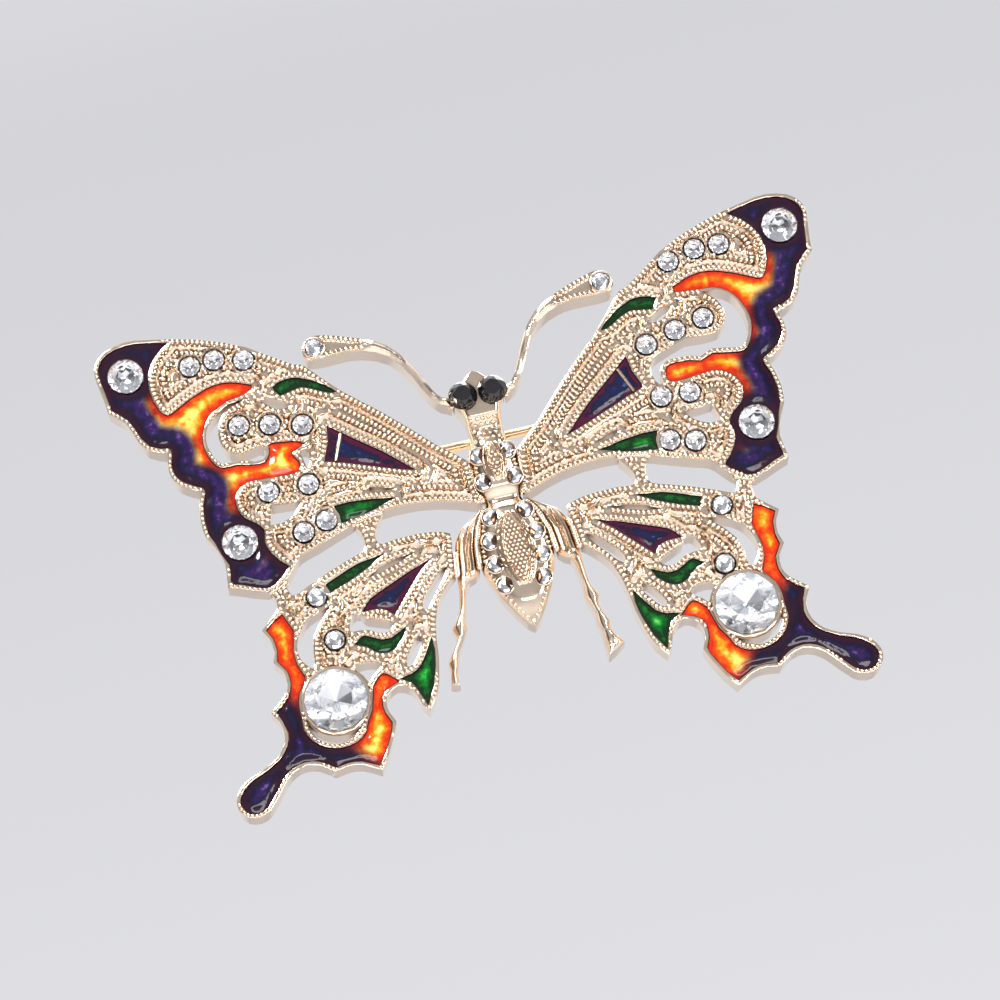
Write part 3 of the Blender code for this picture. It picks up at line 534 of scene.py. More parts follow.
class Beads:
    """Beads on the metal that the loops bound. Those of a row never crowd the ones already placed."""

    def __init__(self, metal):
        self.metal = metal
        self.placed = []

    def row(self, points, tangents, y, wide):
        for point, tangent, good in zip(points, tangents, inside(points, self.metal)):
            if good and all(math.dist(point, other) > BEAD_SPACE for other, *_ in self.placed):
                self.placed.append((point, tangent, y, wide))

    def edge(self, loop, inset, wide, y):
        """A row at one distance inside an edge of the metal, where no other edge is nearer."""
        closed = np.vstack([loop, loop[:1]])
        lengths = np.r_[0, np.cumsum(np.linalg.norm(np.diff(closed, axis=0), axis=1))]
        count = max(3, round(lengths[-1] / BEAD_PITCH))
        where = np.arange(count) * lengths[-1] / count
        points = np.c_[np.interp(where, lengths, closed[:, 0]), np.interp(where, lengths, closed[:, 1])]
        tangents = np.roll(points, -1, 0) - np.roll(points, 1, 0)
        tangents /= np.maximum(np.linalg.norm(tangents, axis=1), 1e-9)[:, None]
        points = points + np.c_[-tangents[:, 1], tangents[:, 0]] * inset
        clear = distance(points, self.metal) > inset - BEAD_OVERHANG * wide
        self.row(points[clear], tangents[clear], y, wide)

    def build(self, shell):
        for (x, z), (tx, tz), y, wide in self.placed:
            along = BEAD_POINTS[:, 0] * BEAD_ALONG
            across = BEAD_POINTS[:, 1] * BEAD_ACROSS * wide
            height = y - BEAD_POINTS[:, 2] * BEAD_HEIGHT
            points = np.c_[x + along * tx - across * tz, height, z + along * tz + across * tx]
            shell.add(points, BEAD_FACES)


def collar(shell, centre, y, girdle, sizes):
    """A polished ring round a stone."""
    beyond, tube, squash = sizes
    points, faces = [], []
    for i in range(COLLAR_SIDES):
        a = 2 * math.pi * i / COLLAR_SIDES
        for k in range(COLLAR_SECTION):
            b = 2 * math.pi * k / COLLAR_SECTION
            reach = girdle + beyond + tube * math.cos(b)
            x, z = centre[0] + reach * math.cos(a), centre[1] + reach * math.sin(a)
            points.append((x, y - tube * squash * math.sin(b), z))
    for i in range(COLLAR_SIDES):
        here, there = i * COLLAR_SECTION, (i + 1) % COLLAR_SIDES * COLLAR_SECTION
        for k in range(COLLAR_SECTION):
            m = (k + 1) % COLLAR_SECTION
            faces.append((here + k, there + k, there + m, here + m))
    shell.add(points, faces)


# ---------------------------------------------------------------------------------------------
# Stones

def cut_mesh(name, cut, crown_material, back_material):
    """A brilliant cut: the hull of a table, stars, a girdle, pavilion mains and a culet."""
    radius, crown, depth = cut
    rings = (       # corners, turn in steps, share of the radius, y
        (8, 0.0, 0.56, -crown),
        (8, 0.5, 0.8, -crown * 0.62),
        (16, 0.0, 1.0, -0.05),
        (16, 0.0, 1.0, 0.0),
        (8, 0.5, 0.55, depth * 0.55),
        (1, 0.0, 0.0, depth),
    )
    shape = bmesh.new()
    for count, turn, share, y in rings:
        for i in range(count):
            a = 2 * math.pi * (i + turn) / count
            corner = Vector((math.cos(a) * share * radius, y, math.sin(a) * share * radius))
            shape.verts.new(corner * MM)
    bmesh.ops.convex_hull(shape, input=shape.verts)
    bmesh.ops.recalc_face_normals(shape, faces=shape.faces)
    for face in shape.faces:
        face.material_index = int(face.calc_center_median().y > 0.0)
    mesh = bpy.data.meshes.new(name)
    shape.to_mesh(mesh)
    shape.free()
    mesh.materials.append(crown_material)
    mesh.materials.append(back_material)
    return mesh


CLEAR_CUTS = {
    "small": SMALL_CUT, "shallow": SHALLOW_CUT, "body": BODY_CUT, "medium": MEDIUM_CUT, "large": LARGE_CUT,
}
CUTS = {
    name: cut_mesh(f"{name}_cut", cut, MATERIALS["glass"], MATERIALS["foil"])
    for name, cut in CLEAR_CUTS.items()
}
CUTS["eye"] = cut_mesh("eye_cut", EYE_CUT, MATERIALS["jet"], MATERIALS["jet"])


def set_stone(name, cut, place, y, spin):
    obj = bpy.data.objects.new(name, CUTS[cut])
    bpy.context.scene.collection.objects.link(obj)
    obj.location = Vector((place[0], y, place[1])) * MM
    obj.rotation_euler = (0.0, spin, 0.0)
    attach(obj, "brooch")
    return obj


def cut_of(node):
    """The cut that goes with a stone's name."""
    return next((cut for cut in ("large", "medium", "eye") if cut in node), "small")


def build_stones():
    """A cut stone for each stone of the frame, and the small ones that have no node."""
    fronts = dict.fromkeys(("small", "medium"), FRONT - STONE_LIFT)
    fronts["eye"] = BODY_FRONT - EYE_CUT[2]
    fronts["large"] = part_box("hindwing_casting_right")[0].y / MM - LARGE_STONE_LIFT
    spin = 0.0
    for node in sorted(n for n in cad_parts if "_stone" in n):
        spin += STONE_TURN
        centre = node_centre(node)
        cut = cut_of(node)
        stone = set_stone(f"{node}_cut", cut, (centre.x, centre.z), fronts[cut], spin)
        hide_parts(node)
    for name, side in SIDES.items():
        for i, place in enumerate(extra_seats(name), 1):
            y = FRONT - SHALLOW_LIFT
            set_stone(f"hind_stone_{i}_{name}", "shallow", place, y, i * side)
        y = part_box(f"antenna_{name}")[0].y / MM - SHALLOW_LIFT
        place = antenna_stone(name)
        set_stone(f"antenna_stone_{name}", "shallow", place, y, ANTENNA_STONE_TURN)
        for i, (x, z) in enumerate(body_stones(), 1):
            y = body_height(x, z) - BODY_STONE_LIFT
            set_stone(f"body_stone_{i}_{name}", "body", (x * side, z), y, i * side)


# ---------------------------------------------------------------------------------------------
# Enamel

def fade(value, start, end):
    """Nought at start, one at end, with soft ends."""
    share = np.clip((value - start) / (end - start), 0, 1)
    return share * share * (3 - 2 * share)


def flat_mesh(loops, step):
    """Triangles over what the loops bound, with a grid of inner points unless step is None."""
    outline = np.vstack(loops)
    edges, first = [], 0
    for loop in loops:
        count = len(loop)
        edges += [(first + i, first + (i + 1) % count) for i in range(count)]
        first += count
    points = outline
    if step:
        low, high = outline.min(0), outline.max(0)
        xs, zs = np.meshgrid(np.arange(low[0], high[0], step), np.arange(low[1], high[1], step))
        xs[1::2] += step / 2
        grid = np.c_[xs.ravel(), zs.ravel()]
        grid = grid[inside(grid, loops)]
        points = np.vstack([outline, grid[distance(grid, loops) > step * GRID_CLEARANCE]])
    flat, _, triangles, *_ = delaunay_2d_cdt([Vector(p) for p in points], edges, [], 0, 1e-5)
    plane = np.array([tuple(p) for p in flat])
    middles = np.array([plane[list(t)].mean(0) for t in triangles])
    return plane, [tuple(t) for t, good in zip(triangles, inside(middles, loops)) if good]


def plate(shell, loops, step, front, back):
    """A closed plate over the loops' material, whose front gives y for points. Returns its (x, z)."""
    plane, top = flat_mesh(loops, step)
    under, bottom = flat_mesh(loops, None)
    count = len(plane)
    shell_points = [(x, y, z) for (x, z), y in zip(plane, front(plane))]
    shell_points += [(x, back, z) for x, z in under]
    below = {(round(x, 4), round(z, 4)): count + i for i, (x, z) in enumerate(under)}
    sides = [(a, b) for t in top for a, b in zip(t, t[1:] + t[:1])]
    directed = set(sides)
    walls = []
    for a, b in sides:
        if (b, a) not in directed:
            foot = [below[tuple(np.round(plane[i], 4))] for i in (b, a)]
            walls.append((a, b, *foot))
    shell.add(shell_points, top + [tuple(count + i for i in reversed(t)) for t in bottom] + walls)
    return np.array([(x, z) for x, _, z in shell_points])


def warmth(points, wing, side_name):
    """How orange the band's enamel is at each point."""
    if wing == "forewing":
        loops = face_loops(f"forewing_casting_{side_name}", FRONT)
        outline = max(loops, key=lambda loop: np.ptp(loop[:, 0]))
        stones = [seat for seat in stone_places(side_name, wing) if seat[1] > MEDIUM_CUT[0]]
        far_inside = fade(distance(points, [outline]), *FOREWING_WARM)
        return far_inside * fade(seat_distance(points, stones), *FOREWING_STONE_DARK)
    low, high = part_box(f"hindwing_band_enamel_{side_name}")
    stone = node_centre(f"large_stone_{side_name}")
    tail = np.array(((high.x if side_name == "right" else low.x) / MM - stone.x, low.z / MM - stone.z))
    along = (points - (stone.x, stone.z)) @ tail / np.linalg.norm(tail)
    return fade(along, *HINDWING_WARM)


def enamel_piece(node):
    loops = face_loops(node, ENAMEL_FRONT)

    def domed(points):
        gap = distance(points, loops)
        return ENAMEL_FRONT - ENAMEL_DOME * (1 - np.exp(-((gap / ENAMEL_SHOULDER) ** 2)))

    shell = Shell()
    plane = plate(shell, loops, ENAMEL_STEP, domed, ENAMEL_FRONT + ENAMEL_DEPTH)
    wing, side_name = node.split("_")[0], node.split("_")[-1]
    kind = next((kind for kind in ("band", "wedge") if kind in node), "green")
    obj = shell.piece(f"{node}_dome", MATERIALS[kind], SMOOTH_ENAMEL)
    rim = obj.data.attributes.new("rim", "FLOAT", "POINT")
    rim.data.foreach_set("value", np.clip(distance(plane, loops), 0, 1).astype(np.float32))
    if kind == "band":
        warm = obj.data.attributes.new("warm", "FLOAT", "POINT")
        warm.data.foreach_set("value", warmth(plane, wing, side_name).astype(np.float32))
    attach(obj, "brooch")
    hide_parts(node)


# ---------------------------------------------------------------------------------------------
# Gold

def finish_gold(obj):
    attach(obj, "brooch")


def stone_places(side_name, wing):
    """Middle and radius of each stone on a wing."""
    places = []
    for node in sorted(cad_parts):
        if not node.endswith(side_name) or "_stone" not in node or node.startswith("eye"):
            continue
        if node.startswith(FOREWING_STONES) == (wing == "forewing"):
            low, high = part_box(node)
            centre = node_centre(node)
            places.append((np.array((centre.x, centre.z)), (high.x - low.x) / 2 / MM))
    return places


def hump(value, place, width, height):
    return height * np.exp(-(((value - place) / width) ** 2))


def seat_distance(points, seats):
    """From each point to the nearest stone's girdle."""
    return np.min([np.linalg.norm(points - place, axis=1) - radius for place, radius in seats], axis=0)


def chased(points, loops, seats):
    """Height of a wing's face: rims, ridges, frames round the stones and a grained field between them."""
    gap = distance(points, loops)
    to_seat = seat_distance(points, seats)
    ridges = np.max([hump(gap, *r) for r in EDGE_RIDGES], axis=0) * fade(to_seat, *RIDGES_FROM_SEATS)
    frames = hump(to_seat, *SEAT_RIDGE) * fade(gap, *FRAMES_FROM_EDGES)
    x, z = points[:, 0], points[:, 1]
    waves = 2 * math.pi * (x + z * GRAIN_SLANTS[0]) / GRAIN_PITCH
    cross_waves = 2 * math.pi * (z - x * GRAIN_SLANTS[1]) / GRAIN_PITCH
    grain = GRAIN_HEIGHT * (1 + np.sin(waves) * np.sin(cross_waves)) / 2
    field = grain * fade(gap, *FIELD_FROM_EDGES) * fade(to_seat, *FIELD_FROM_SEATS)
    height = np.maximum(np.maximum(ridges, frames), field) + RELIEF_FLOOR
    return height * np.clip(to_seat / SEAT_SLOPE, SEAT_LOWEST, 1)


def extra_seats(side_name):
    """Places of the hindwing's stones that have no node."""
    side = SIDES[side_name]
    places = []
    for node, out, above in HIND_STONES[side_name]:
        low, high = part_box(f"{node}_{side_name}")
        outer = (high.x if side > 0 else -low.x) / MM
        places.append(np.array(((outer + out) * side, low.z / MM + above)))
    return places


def wedge_bar(shell, side_name):
    """A gold bar across the forewing wedge, along its wide end."""
    loop = face_loops(f"forewing_wedge_enamel_{side_name}", ENAMEL_FRONT)[0]
    edges = list(zip(loop, np.roll(loop, -1, 0)))
    a, b = max(edges, key=lambda edge: abs(edge[0][0] + edge[1][0]))
    along = (b - a) / np.linalg.norm(b - a)
    inwards = loop.mean(0) - (a + b) / 2
    inwards -= (inwards @ along) * along
    inwards /= np.linalg.norm(inwards)
    track = a + inwards * BAR_INSET + (b - a) * np.linspace(-0.5, 1.5, BAR_SAMPLES)[:, None]
    crossing = track[inside(track, [loop])]
    line = crossing[0] + (crossing[-1] - crossing[0]) * np.linspace(0.0, 1.0, BAR_ROWS)[:, None]
    rows = []
    for x, z in line:
        row = []
        for angle in np.linspace(0, math.pi, BAR_SECTION):
            reach = math.cos(angle) * BAR_HALF_WIDTH
            y = ENAMEL_FRONT - math.sin(angle) * BAR_HEIGHT
            row.append((x + inwards[0] * reach, y, z + inwards[1] * reach))
        rows.append(row)
    shell.grid(rows)


def wing_relief(wing, side_name):
    """Ridges and beads on a wing's face. The edges that they follow leave out the stones' seats."""
    loops = face_loops(f"{wing}_casting_{side_name}", FRONT)
    seats = stone_places(side_name, wing)
    edges = []
    for loop in loops:
        middle = (loop.min(0) + loop.max(0)) / 2
        if all(np.linalg.norm(middle - place) > SEAT_LOOP_REACH for place, _ in seats):
            edges.append(loop)
    if wing == "hindwing":
        seats += [(place, SHALLOW_CUT[0]) for place in extra_seats(side_name)]
    shell = Shell()
    plate(
        shell, loops, RELIEF_STEP, lambda points: FRONT - chased(points, edges, seats), FRONT + RELIEF_SUNK,
    )
    beads = Beads(edges)
    for inset, wide, rise in BEAD_ROWS:
        for loop in sorted(edges, key=lambda edge: -np.ptp(edge[:, 0]) * np.ptp(edge[:, 1])):
            beads.edge(loop, inset, wide, FRONT - rise)
    beads.placed = [b for b in beads.placed if seat_distance(b[0][None], seats)[0] > BEAD_SEAT_GAP]
    beads.build(shell)
    if wing == "forewing":
        wedge_bar(shell, side_name)
    finish_gold(shell.piece(f"{wing}_relief_{side_name}", MATERIALS["gold"], SMOOTH_GOLD))


def mesh_edges(node):
    """Both ends of each edge of a node, as arrays of x, y and z."""
    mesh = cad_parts[node].data
    points = np.array([v.co for v in mesh.vertices]) / MM
    ends = np.array([e.vertices for e in mesh.edges])
    return points[ends[:, 0]], points[ends[:, 1]]


BODY_EDGES = mesh_edges("body_casting")
BODY_SPAN = (BODY_EDGES[0][:, 2].min(), BODY_EDGES[0][:, 2].max())
BODY_WIDTHS = {}        # those already worked out, by height
BODY_END_WIDTH = 0.02   # past the ends
WIDTH_SAMPLES = 60
OUTLINE_SAMPLES = 120
OUTLINE_END_GAP = 0.1


def body_width(z):
    """Half the width of the body's silhouette at a height."""
    if z not in BODY_WIDTHS:
        first, last = BODY_EDGES
        cross = (first[:, 2] - z) * (last[:, 2] - z) < 0
        a, b = first[cross], last[cross]
        reach = a[:, 0] + (z - a[:, 2]) * (b[:, 0] - a[:, 0]) / (b[:, 2] - a[:, 2])
        BODY_WIDTHS[z] = reach.max() if cross.any() else BODY_END_WIDTH
    return BODY_WIDTHS[z]


def narrowest(low_share, high_share):
    """The height of the narrowest place between two shares of the body's length from the tip."""
    low, high = BODY_SPAN
    start, end = low + low_share * (high - low), low + high_share * (high - low)
    return min(np.linspace(start, end, WIDTH_SAMPLES), key=body_width)


WAIST = narrowest(0.4, 0.65)
NECK = narrowest(0.7, 0.88)

# Almonds on the body: lowest and highest point, half width
MARQUISES = ((WAIST - 8.6, WAIST - 1.4, 1.15), (WAIST + 1.7, NECK - 1.3, 0.6))


def almond(z, low, high, half):
    """Half width of an almond that lies along the body."""
    return half * math.sin(math.pi * (z - low) / (high - low)) ** 0.8


def marquise_rise(x, z, low, high, half):
    """Relief of an almond on the body with a double rim."""
    if not low < z < high:
        return 0.0
    width = almond(z, low, high, half)
    rise = sum(hump(abs(x) - width, *rim) for rim in MARQUISE_RIMS)
    return rise * min(1.0, width / MARQUISE_END)


def body_height(x, z):
    """y of the body's front."""
    low = BODY_SPAN[0]
    u = min(1.0, abs(x) / body_width(z))
    head = float(fade(z, NECK + HEAD_FROM_NECK[0], NECK + HEAD_FROM_NECK[1]))
    power = BODY_POWER + (HEAD_POWER - BODY_POWER) * head
    middle = (BODY_FRONT + BODY_DROP) * (1 - head) + (BODY_FRONT + HEAD_DROP) * head
    middle += hump(z, WAIST, *WAIST_DIP) + hump(z, NECK, *NECK_DIP) * (1 - head)
    middle += TIP_DROP * (1 - float(fade(z, low, low + TIP_LENGTH)))
    edge = FRONT + BODY_RIM_DROP
    y = edge - (edge - middle) * (1 - u**power) ** BODY_ROUNDNESS
    y -= sum(marquise_rise(x, z, *marquise) for marquise in MARQUISES)
    return max(y, BODY_FRONT)


def body_stones():
    """Places down the right half of the body."""
    heights = [NECK + (WAIST - NECK) * share for share in THORAX_STONES]
    heights += [WAIST + (BODY_SPAN[0] - WAIST) * share for share in ABDOMEN_STONES]
    return [(body_width(z) * BODY_STONE_REACH, z) for z in heights]


def body_surface():
    """Rows along the body, each from the back over the front to the back."""
    low, high = BODY_SPAN
    across = np.linspace(-1, 1, BODY_POINTS)
    across = across * (1.3 - 0.3 * across**2)       # closer together towards the silhouette
    rows = []
    for z in np.linspace(low + END_GAP, high - END_GAP, BODY_ROWS):
        width = body_width(z)
        front = [(u * width, body_height(u * width, z), z) for u in across]
        rows.append([(-width, BACK, z)] + front + [(width, BACK, z)])
    return rows


def body_beads():
    """A row down each side, grains in the almonds and grains on the neck."""
    beads = Beads([])

    def place(x, z, tangent, kind):
        sunk, wide = kind
        beads.placed.append((np.array((x, z)), tangent, body_height(x, z) + sunk, wide))

    heights = np.arange(BODY_SPAN[0] + SIDE_BEADS_FROM_TIP, NECK - SIDE_BEADS_FROM_NECK, BEAD_PITCH)
    heights = [z for z in heights if abs(z - WAIST) > SIDE_BEADS_FROM_WAIST]
    for side in SIDES.values():
        edge = np.array([(side * max(body_width(z) - SIDE_BEAD_INSET, SIDE_BEAD_LEAST), z) for z in heights])
        tangents = np.gradient(edge, axis=0)
        tangents /= np.linalg.norm(tangents, axis=1)[:, None]
        for (x, z), tangent in zip(edge, tangents):
            place(x, z, tangent, SIDE_BEAD)
    for bottom, top, half in MARQUISES:
        heights = np.arange(bottom + GRANULE_ENDS[0], top - GRANULE_ENDS[1], GRANULE_PITCH * ROW_SHARE)
        for row, z in enumerate(heights):
            reach = max(almond(z, bottom, top, half) - GRANULE_INSET, 0.01)
            for x in np.arange(GRANULE_PITCH / 2 * (row % 2), reach, GRANULE_PITCH):
                for mirrored in sorted({x, -x}):
                    place(mirrored, z, np.array((1.0, 0.0)), GRANULE)
    heights = np.arange(
        NECK - NECK_GRAIN_SPAN[0], NECK + NECK_GRAIN_SPAN[1], NECK_GRAIN_PITCH * ROW_SHARE,
    )
    for row, z in enumerate(heights):
        reach = body_width(z) - NECK_GRAIN_INSET
        for x in np.arange(-reach + NECK_GRAIN_PITCH / 2 * (row % 2), reach, NECK_GRAIN_PITCH):
            place(x, z, np.array((0.0, 1.0)), NECK_GRAIN)
    return beads


def build_body():
    shell = Shell()
    shell.grid(body_surface())
    body_beads().build(shell)
    for side in SIDES.values():
        for x, z in body_stones():
            y = body_height(x, z) - COLLAR_LIFT
            collar(shell, (x * side, z), y, BODY_CUT[0], BODY_COLLAR)
    obj = shell.piece("body_modelled", MATERIALS["gold"], SMOOTH_GOLD)
    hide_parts("body_casting")
    finish_gold(obj)


def outline_of(node):
    """A node's outline where it meets its neighbours, as loops."""
    if node == "body_casting":
        low, high = BODY_SPAN[0] + OUTLINE_END_GAP, BODY_SPAN[1] - OUTLINE_END_GAP
        right = [(body_width(z), z) for z in np.linspace(low, high, OUTLINE_SAMPLES)]
        return [np.array(right + [(-x, z) for x, z in reversed(right)])]
    has_own_front = node.startswith(("leg", "antenna"))
    return face_loops(node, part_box(node)[0].y / MM if has_own_front else FRONT)


def solder(shell, first, second):
    """Low drops along the first outline, where the second one is near."""
    drop = BEAD_POINTS * (SEAM_RADIUS, SEAM_RADIUS, SEAM_HEIGHT)
    for loop in first:
        for a, b in zip(loop, np.roll(loop, -1, 0)):
            steps = max(1, int(np.linalg.norm(b - a) / SEAM_STEP))
            points = a + (b - a) * ((np.arange(steps) + 0.5) / steps)[:, None]
            for x, z in points[distance(points, second) < SEAM_REACH]:
                height = FRONT + SEAM_SUNK - drop[:, 2]
                shell.add(np.c_[x + drop[:, 0], height, z + drop[:, 1]], BEAD_FACES)


def build_seams():
    """Solder that fills the narrow gaps between the castings."""
    shell = Shell()
    for side_name in SIDES:
        for a, b in SEAMS:
            neighbour = b if b == "body_casting" else f"{b}_{side_name}"
            solder(shell, outline_of(f"{a}_{side_name}"), outline_of(neighbour))
    finish_gold(shell.piece("solder_seams", MATERIALS["gold"], SMOOTH_GOLD))


def build_leg(name):
    """Round-fronted leg that follows the frame's outline; its knuckles are in that outline."""
    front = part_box(f"leg_{name}")[0].y / MM
    loop = max(face_loops(f"leg_{name}", front), key=len)
    rows = []
    bottom, top = loop[:, 1].min() + LEG_END_GAP, loop[:, 1].max() - LEG_END_GAP
    for z in np.linspace(bottom, top, LEG_ROWS):
        reach = extent(loop, z)
        if not reach:
            continue
        middle, half = (reach[0] + reach[1]) / 2, (reach[1] - reach[0]) / 2
        fluted = float(fade(half, *LEG_FLUTED_FROM))
        row = [(middle - half, BACK, z)]
        for k in range(LEG_POINTS + 1):
            u = -math.cos(math.pi * k / LEG_POINTS)
            crown = (1 - u * u) ** 0.5
            flute = LEG_FLUTE * (1 - math.cos(4 * math.pi * u)) * fluted * crown
            row.append((middle + half * u, front + LEG_ROUNDING * (1 - crown) + flute, z))
        row.append((middle + half, BACK, z))
        rows.append(row)
    shell = Shell()
    shell.grid(rows)
    obj = shell.piece(f"leg_{name}_modelled", MATERIALS["gold"], SMOOTH_LEG)
    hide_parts(f"leg_{name}")
    finish_gold(obj)


def antenna_stone(name):
    """In the round end of the antenna's club."""
    side = SIDES[name]
    low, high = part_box(f"antenna_{name}")
    x = (high.x if side > 0 else low.x) / MM - ANTENNA_STONE_INSET * side
    outline = max(face_loops(f"antenna_{name}", low.y / MM), key=len)
    reach = extent(outline[:, ::-1], x)
    return np.array((x, (reach[0] + reach[1]) / 2))


def build_antenna(name):
    """A rounded wire whose club carries two rows of beads and a stone."""
    shell = Shell()
    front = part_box(f"antenna_{name}")[0].y / MM
    loops = face_loops(f"antenna_{name}", front)
    stone = antenna_stone(name)
    seats = [(stone, SHALLOW_CUT[0])]

    def rounded(points):
        gap = distance(points, loops)
        start, whole = (abs(stone[0]) - inwards for inwards in ANTENNA_CLUB)
        club = fade(np.abs(points[:, 0]), start, whole)
        wire = WIRE_RISE * (1 - np.exp(-((gap / WIRE_SHOULDER) ** 2)))
        return front - wire * (1 - club) - (hump(gap, *EDGE_RIDGES[0]) + RELIEF_FLOOR) * club

    plate(shell, loops, RELIEF_STEP, rounded, front + RELIEF_SUNK)
    beads = Beads(loops)
    inset, wide, rise = BEAD_ROWS[0]
    for loop in loops:
        beads.edge(loop, inset, wide, front - rise)
    beads.placed = [
        b for b in beads.placed
        if abs(b[0][0]) > abs(stone[0]) - ANTENNA_BEADED
        and seat_distance(b[0][None], seats)[0] > ANTENNA_BEAD_GAP
    ]
    beads.build(shell)
    collar(shell, stone, front - ANTENNA_COLLAR[1], SHALLOW_CUT[0], ANTENNA_COLLAR)
    finish_gold(shell.piece(f"antenna_relief_{name}", MATERIALS["gold"], SMOOTH_GOLD))


def dress_frame():
    """Soft edges and plating on the CAD nodes that stay, with flat faces that stay flat."""
    for name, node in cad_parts.items():
        if node.hide_render:
            continue
        hardware = name.startswith(("hinge", "catch", "pin"))
        node.data.materials.clear()
        node.data.materials.append(MATERIALS["wire" if hardware else "gold"])
        weld = node.modifiers.new("weld", "WELD")
        weld.merge_threshold = WELD_GAP * MM
        bevel = node.modifiers.new("soft_edges", "BEVEL")
        bevel.width = (HARDWARE_BEVEL if hardware else CASTING_BEVEL) * MM
        bevel.segments = 2
        bevel.limit_method = "ANGLE"
        bevel.angle_limit = math.radians(BEVEL_FROM_ANGLE)
        node.data.shade_smooth()
        normals = node.modifiers.new("flat_faces_stay_flat", "WEIGHTED_NORMAL")
        normals.weight = 100


# ---------------------------------------------------------------------------------------------
# Stage, light and camera

CAMERA_AZIMUTH, CAMERA_ELEVATION, CAMERA_ROLL = (math.radians(a) for a in (-3.5, -15.0, 14.1))
CAMERA_DISTANCE = 500.0
CAMERA_SHIFT = 0.344    # to the left in its own view
CLIP = (0.01, 50.0)     # metres
SENSOR = 36.0
VIEW_WIDTH = 93.02      # width of the view at the wings' front
AIM = Vector((0.0, FRONT, -7.4))


def build_camera():
    a, e, roll = CAMERA_AZIMUTH, CAMERA_ELEVATION, CAMERA_ROLL
    back = Vector((math.sin(a) * math.cos(e), -math.cos(a) * math.cos(e), math.sin(e)))
    right = Vector((math.cos(a), math.sin(a), 0.0))
    up = back.cross(right)
    across = math.cos(roll) * right - math.sin(roll) * up
    upright = math.sin(roll) * right + math.cos(roll) * up
    data = bpy.data.cameras.new("camera")
    data.sensor_width = SENSOR
    data.lens = SENSOR * CAMERA_DISTANCE / VIEW_WIDTH
    data.clip_start, data.clip_end = CLIP
    camera = bpy.data.objects.new("camera", data)
    bpy.context.scene.collection.objects.link(camera)
    place = AIM + back * CAMERA_DISTANCE - across * CAMERA_SHIFT
    turn = Matrix((across, upright, back)).transposed().to_4x4()
    camera.matrix_world = Matrix.Translation(place * MM) @ turn
    bpy.context.scene.camera = camera


def soft_light(name, place, size, power):
    """A rectangular lamp that points at the origin."""
    data = bpy.data.lights.new(name, "AREA")
    data.shape = "RECTANGLE"
    data.size, data.size_y = size
    data.energy = power
    lamp = bpy.data.objects.new(name, data)
    bpy.context.scene.collection.objects.link(lamp)
    lamp.location = place
    lamp.rotation_mode = "QUATERNION"
    lamp.rotation_quaternion = (-Vector(place)).to_track_quat("-Z", "Y")


# Brightness of the room from below to above, and from behind the camera to behind the brooch
SKY_BY_HEIGHT = [(0.0, 0.6), (0.45, 0.66), (0.57, 0.76), (0.67, 0.66), (0.78, 1.0), (0.92, 1.55)]
SKY_BY_DEPTH = [(0.0, 0.7), (0.12, 0.4), (0.25, 0.07), (0.42, 0.3), (0.6, 1.0)]
SKY_BLUE = 1.02

# In metres and watts: the floor, and each lamp's name, place, size and power
FLOOR_HEIGHT = -0.35
FLOOR_HALF_SIZE = 6.0
LAMPS = (
    ("key", (-0.28, -0.5, 0.4), (0.18, 0.18), 4.6),
    ("side", (0.55, -0.4, 0.1), (0.1, 0.4), 2.2),
    ("low", (0.05, -0.55, -0.1), (0.5, 0.04), 0.35),
    ("top", (0.0, -0.1, 0.6), (0.4, 0.25), 2.6),
    ("rear", (0.1, 0.55, 0.45), (0.5, 0.3), 1.4),
)


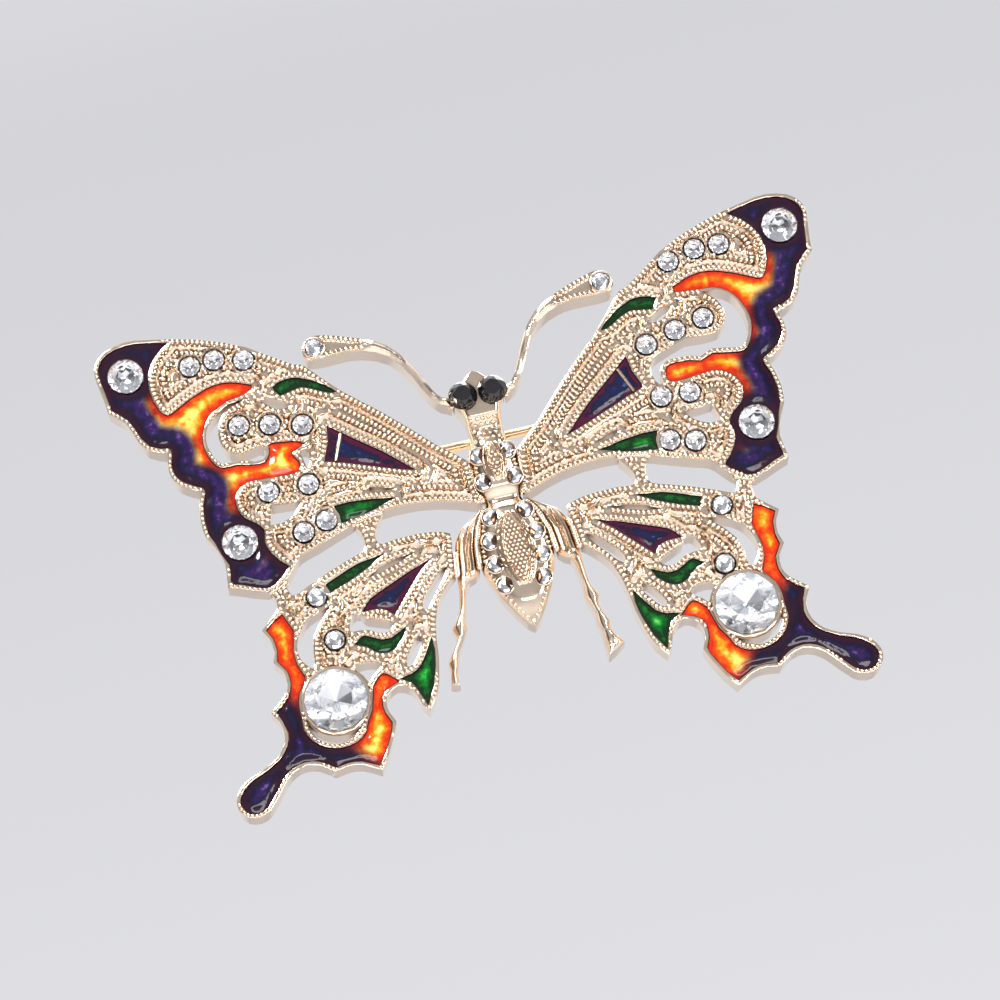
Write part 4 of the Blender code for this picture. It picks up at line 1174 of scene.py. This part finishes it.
def build_floor():
    mesh = bpy.data.meshes.new("floor")
    shape = bmesh.new()
    bmesh.ops.create_grid(shape, x_segments=4, y_segments=4, size=FLOOR_HALF_SIZE)
    shape.to_mesh(mesh)
    shape.free()
    floor = bpy.data.objects.new("floor", mesh)
    floor.location.z = FLOOR_HEIGHT
    bpy.context.scene.collection.objects.link(floor)
    material, tree, shader = shader_of("pale_floor")
    tone = ramp(tree, noise(tree, 2.0), [(0.0, (0.68, 0.68, 0.693)), (1.0, (0.72, 0.72, 0.733))])
    tree.links.new(tone, shader.inputs["Base Color"])
    shader.inputs["Roughness"].default_value = 0.9
    shader.inputs["Specular IOR Level"].default_value = 0.1
    mesh.materials.append(material)


def build_room():
    """A grey world whose brightness depends on height, times one that depends on depth."""
    world = bpy.data.worlds.new("studio")
    world.use_nodes = True
    tree = world.node_tree
    place = tree.nodes.new("ShaderNodeTexCoord")
    split = tree.nodes.new("ShaderNodeSeparateXYZ")
    tree.links.new(place.outputs["Generated"], split.inputs[0])
    shades = []
    for axis, stops in (("Z", SKY_BY_HEIGHT), ("Y", SKY_BY_DEPTH)):
        share = tree.nodes.new("ShaderNodeMapRange")
        share.inputs["From Min"].default_value = -1.0
        tree.links.new(split.outputs[axis], share.inputs["Value"])
        greys = [(at, (grey, grey, grey * SKY_BLUE)) for at, grey in stops]
        shades.append(ramp(tree, share.outputs[0], greys))
    product = tree.nodes.new("ShaderNodeMix")
    product.data_type = "RGBA"
    product.blend_type = "MULTIPLY"
    product.inputs[0].default_value = 1.0
    tree.links.new(shades[0], product.inputs[6])
    tree.links.new(shades[1], product.inputs[7])
    tree.links.new(product.outputs[2], tree.nodes["Background"].inputs["Color"])
    bpy.context.scene.world = world


def main():
    for enamel_node in sorted(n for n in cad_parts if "enamel" in n):
        enamel_piece(enamel_node)
    for side_name in SIDES:
        for wing in ("forewing", "hindwing"):
            wing_relief(wing, side_name)
        build_leg(side_name)
        build_antenna(side_name)
    build_body()
    build_seams()
    build_stones()
    dress_frame()
    build_camera()
    build_floor()
    build_room()
    for lamp in LAMPS:
        soft_light(*lamp)
    bpy.context.scene.view_settings.view_transform = "Standard"


main()
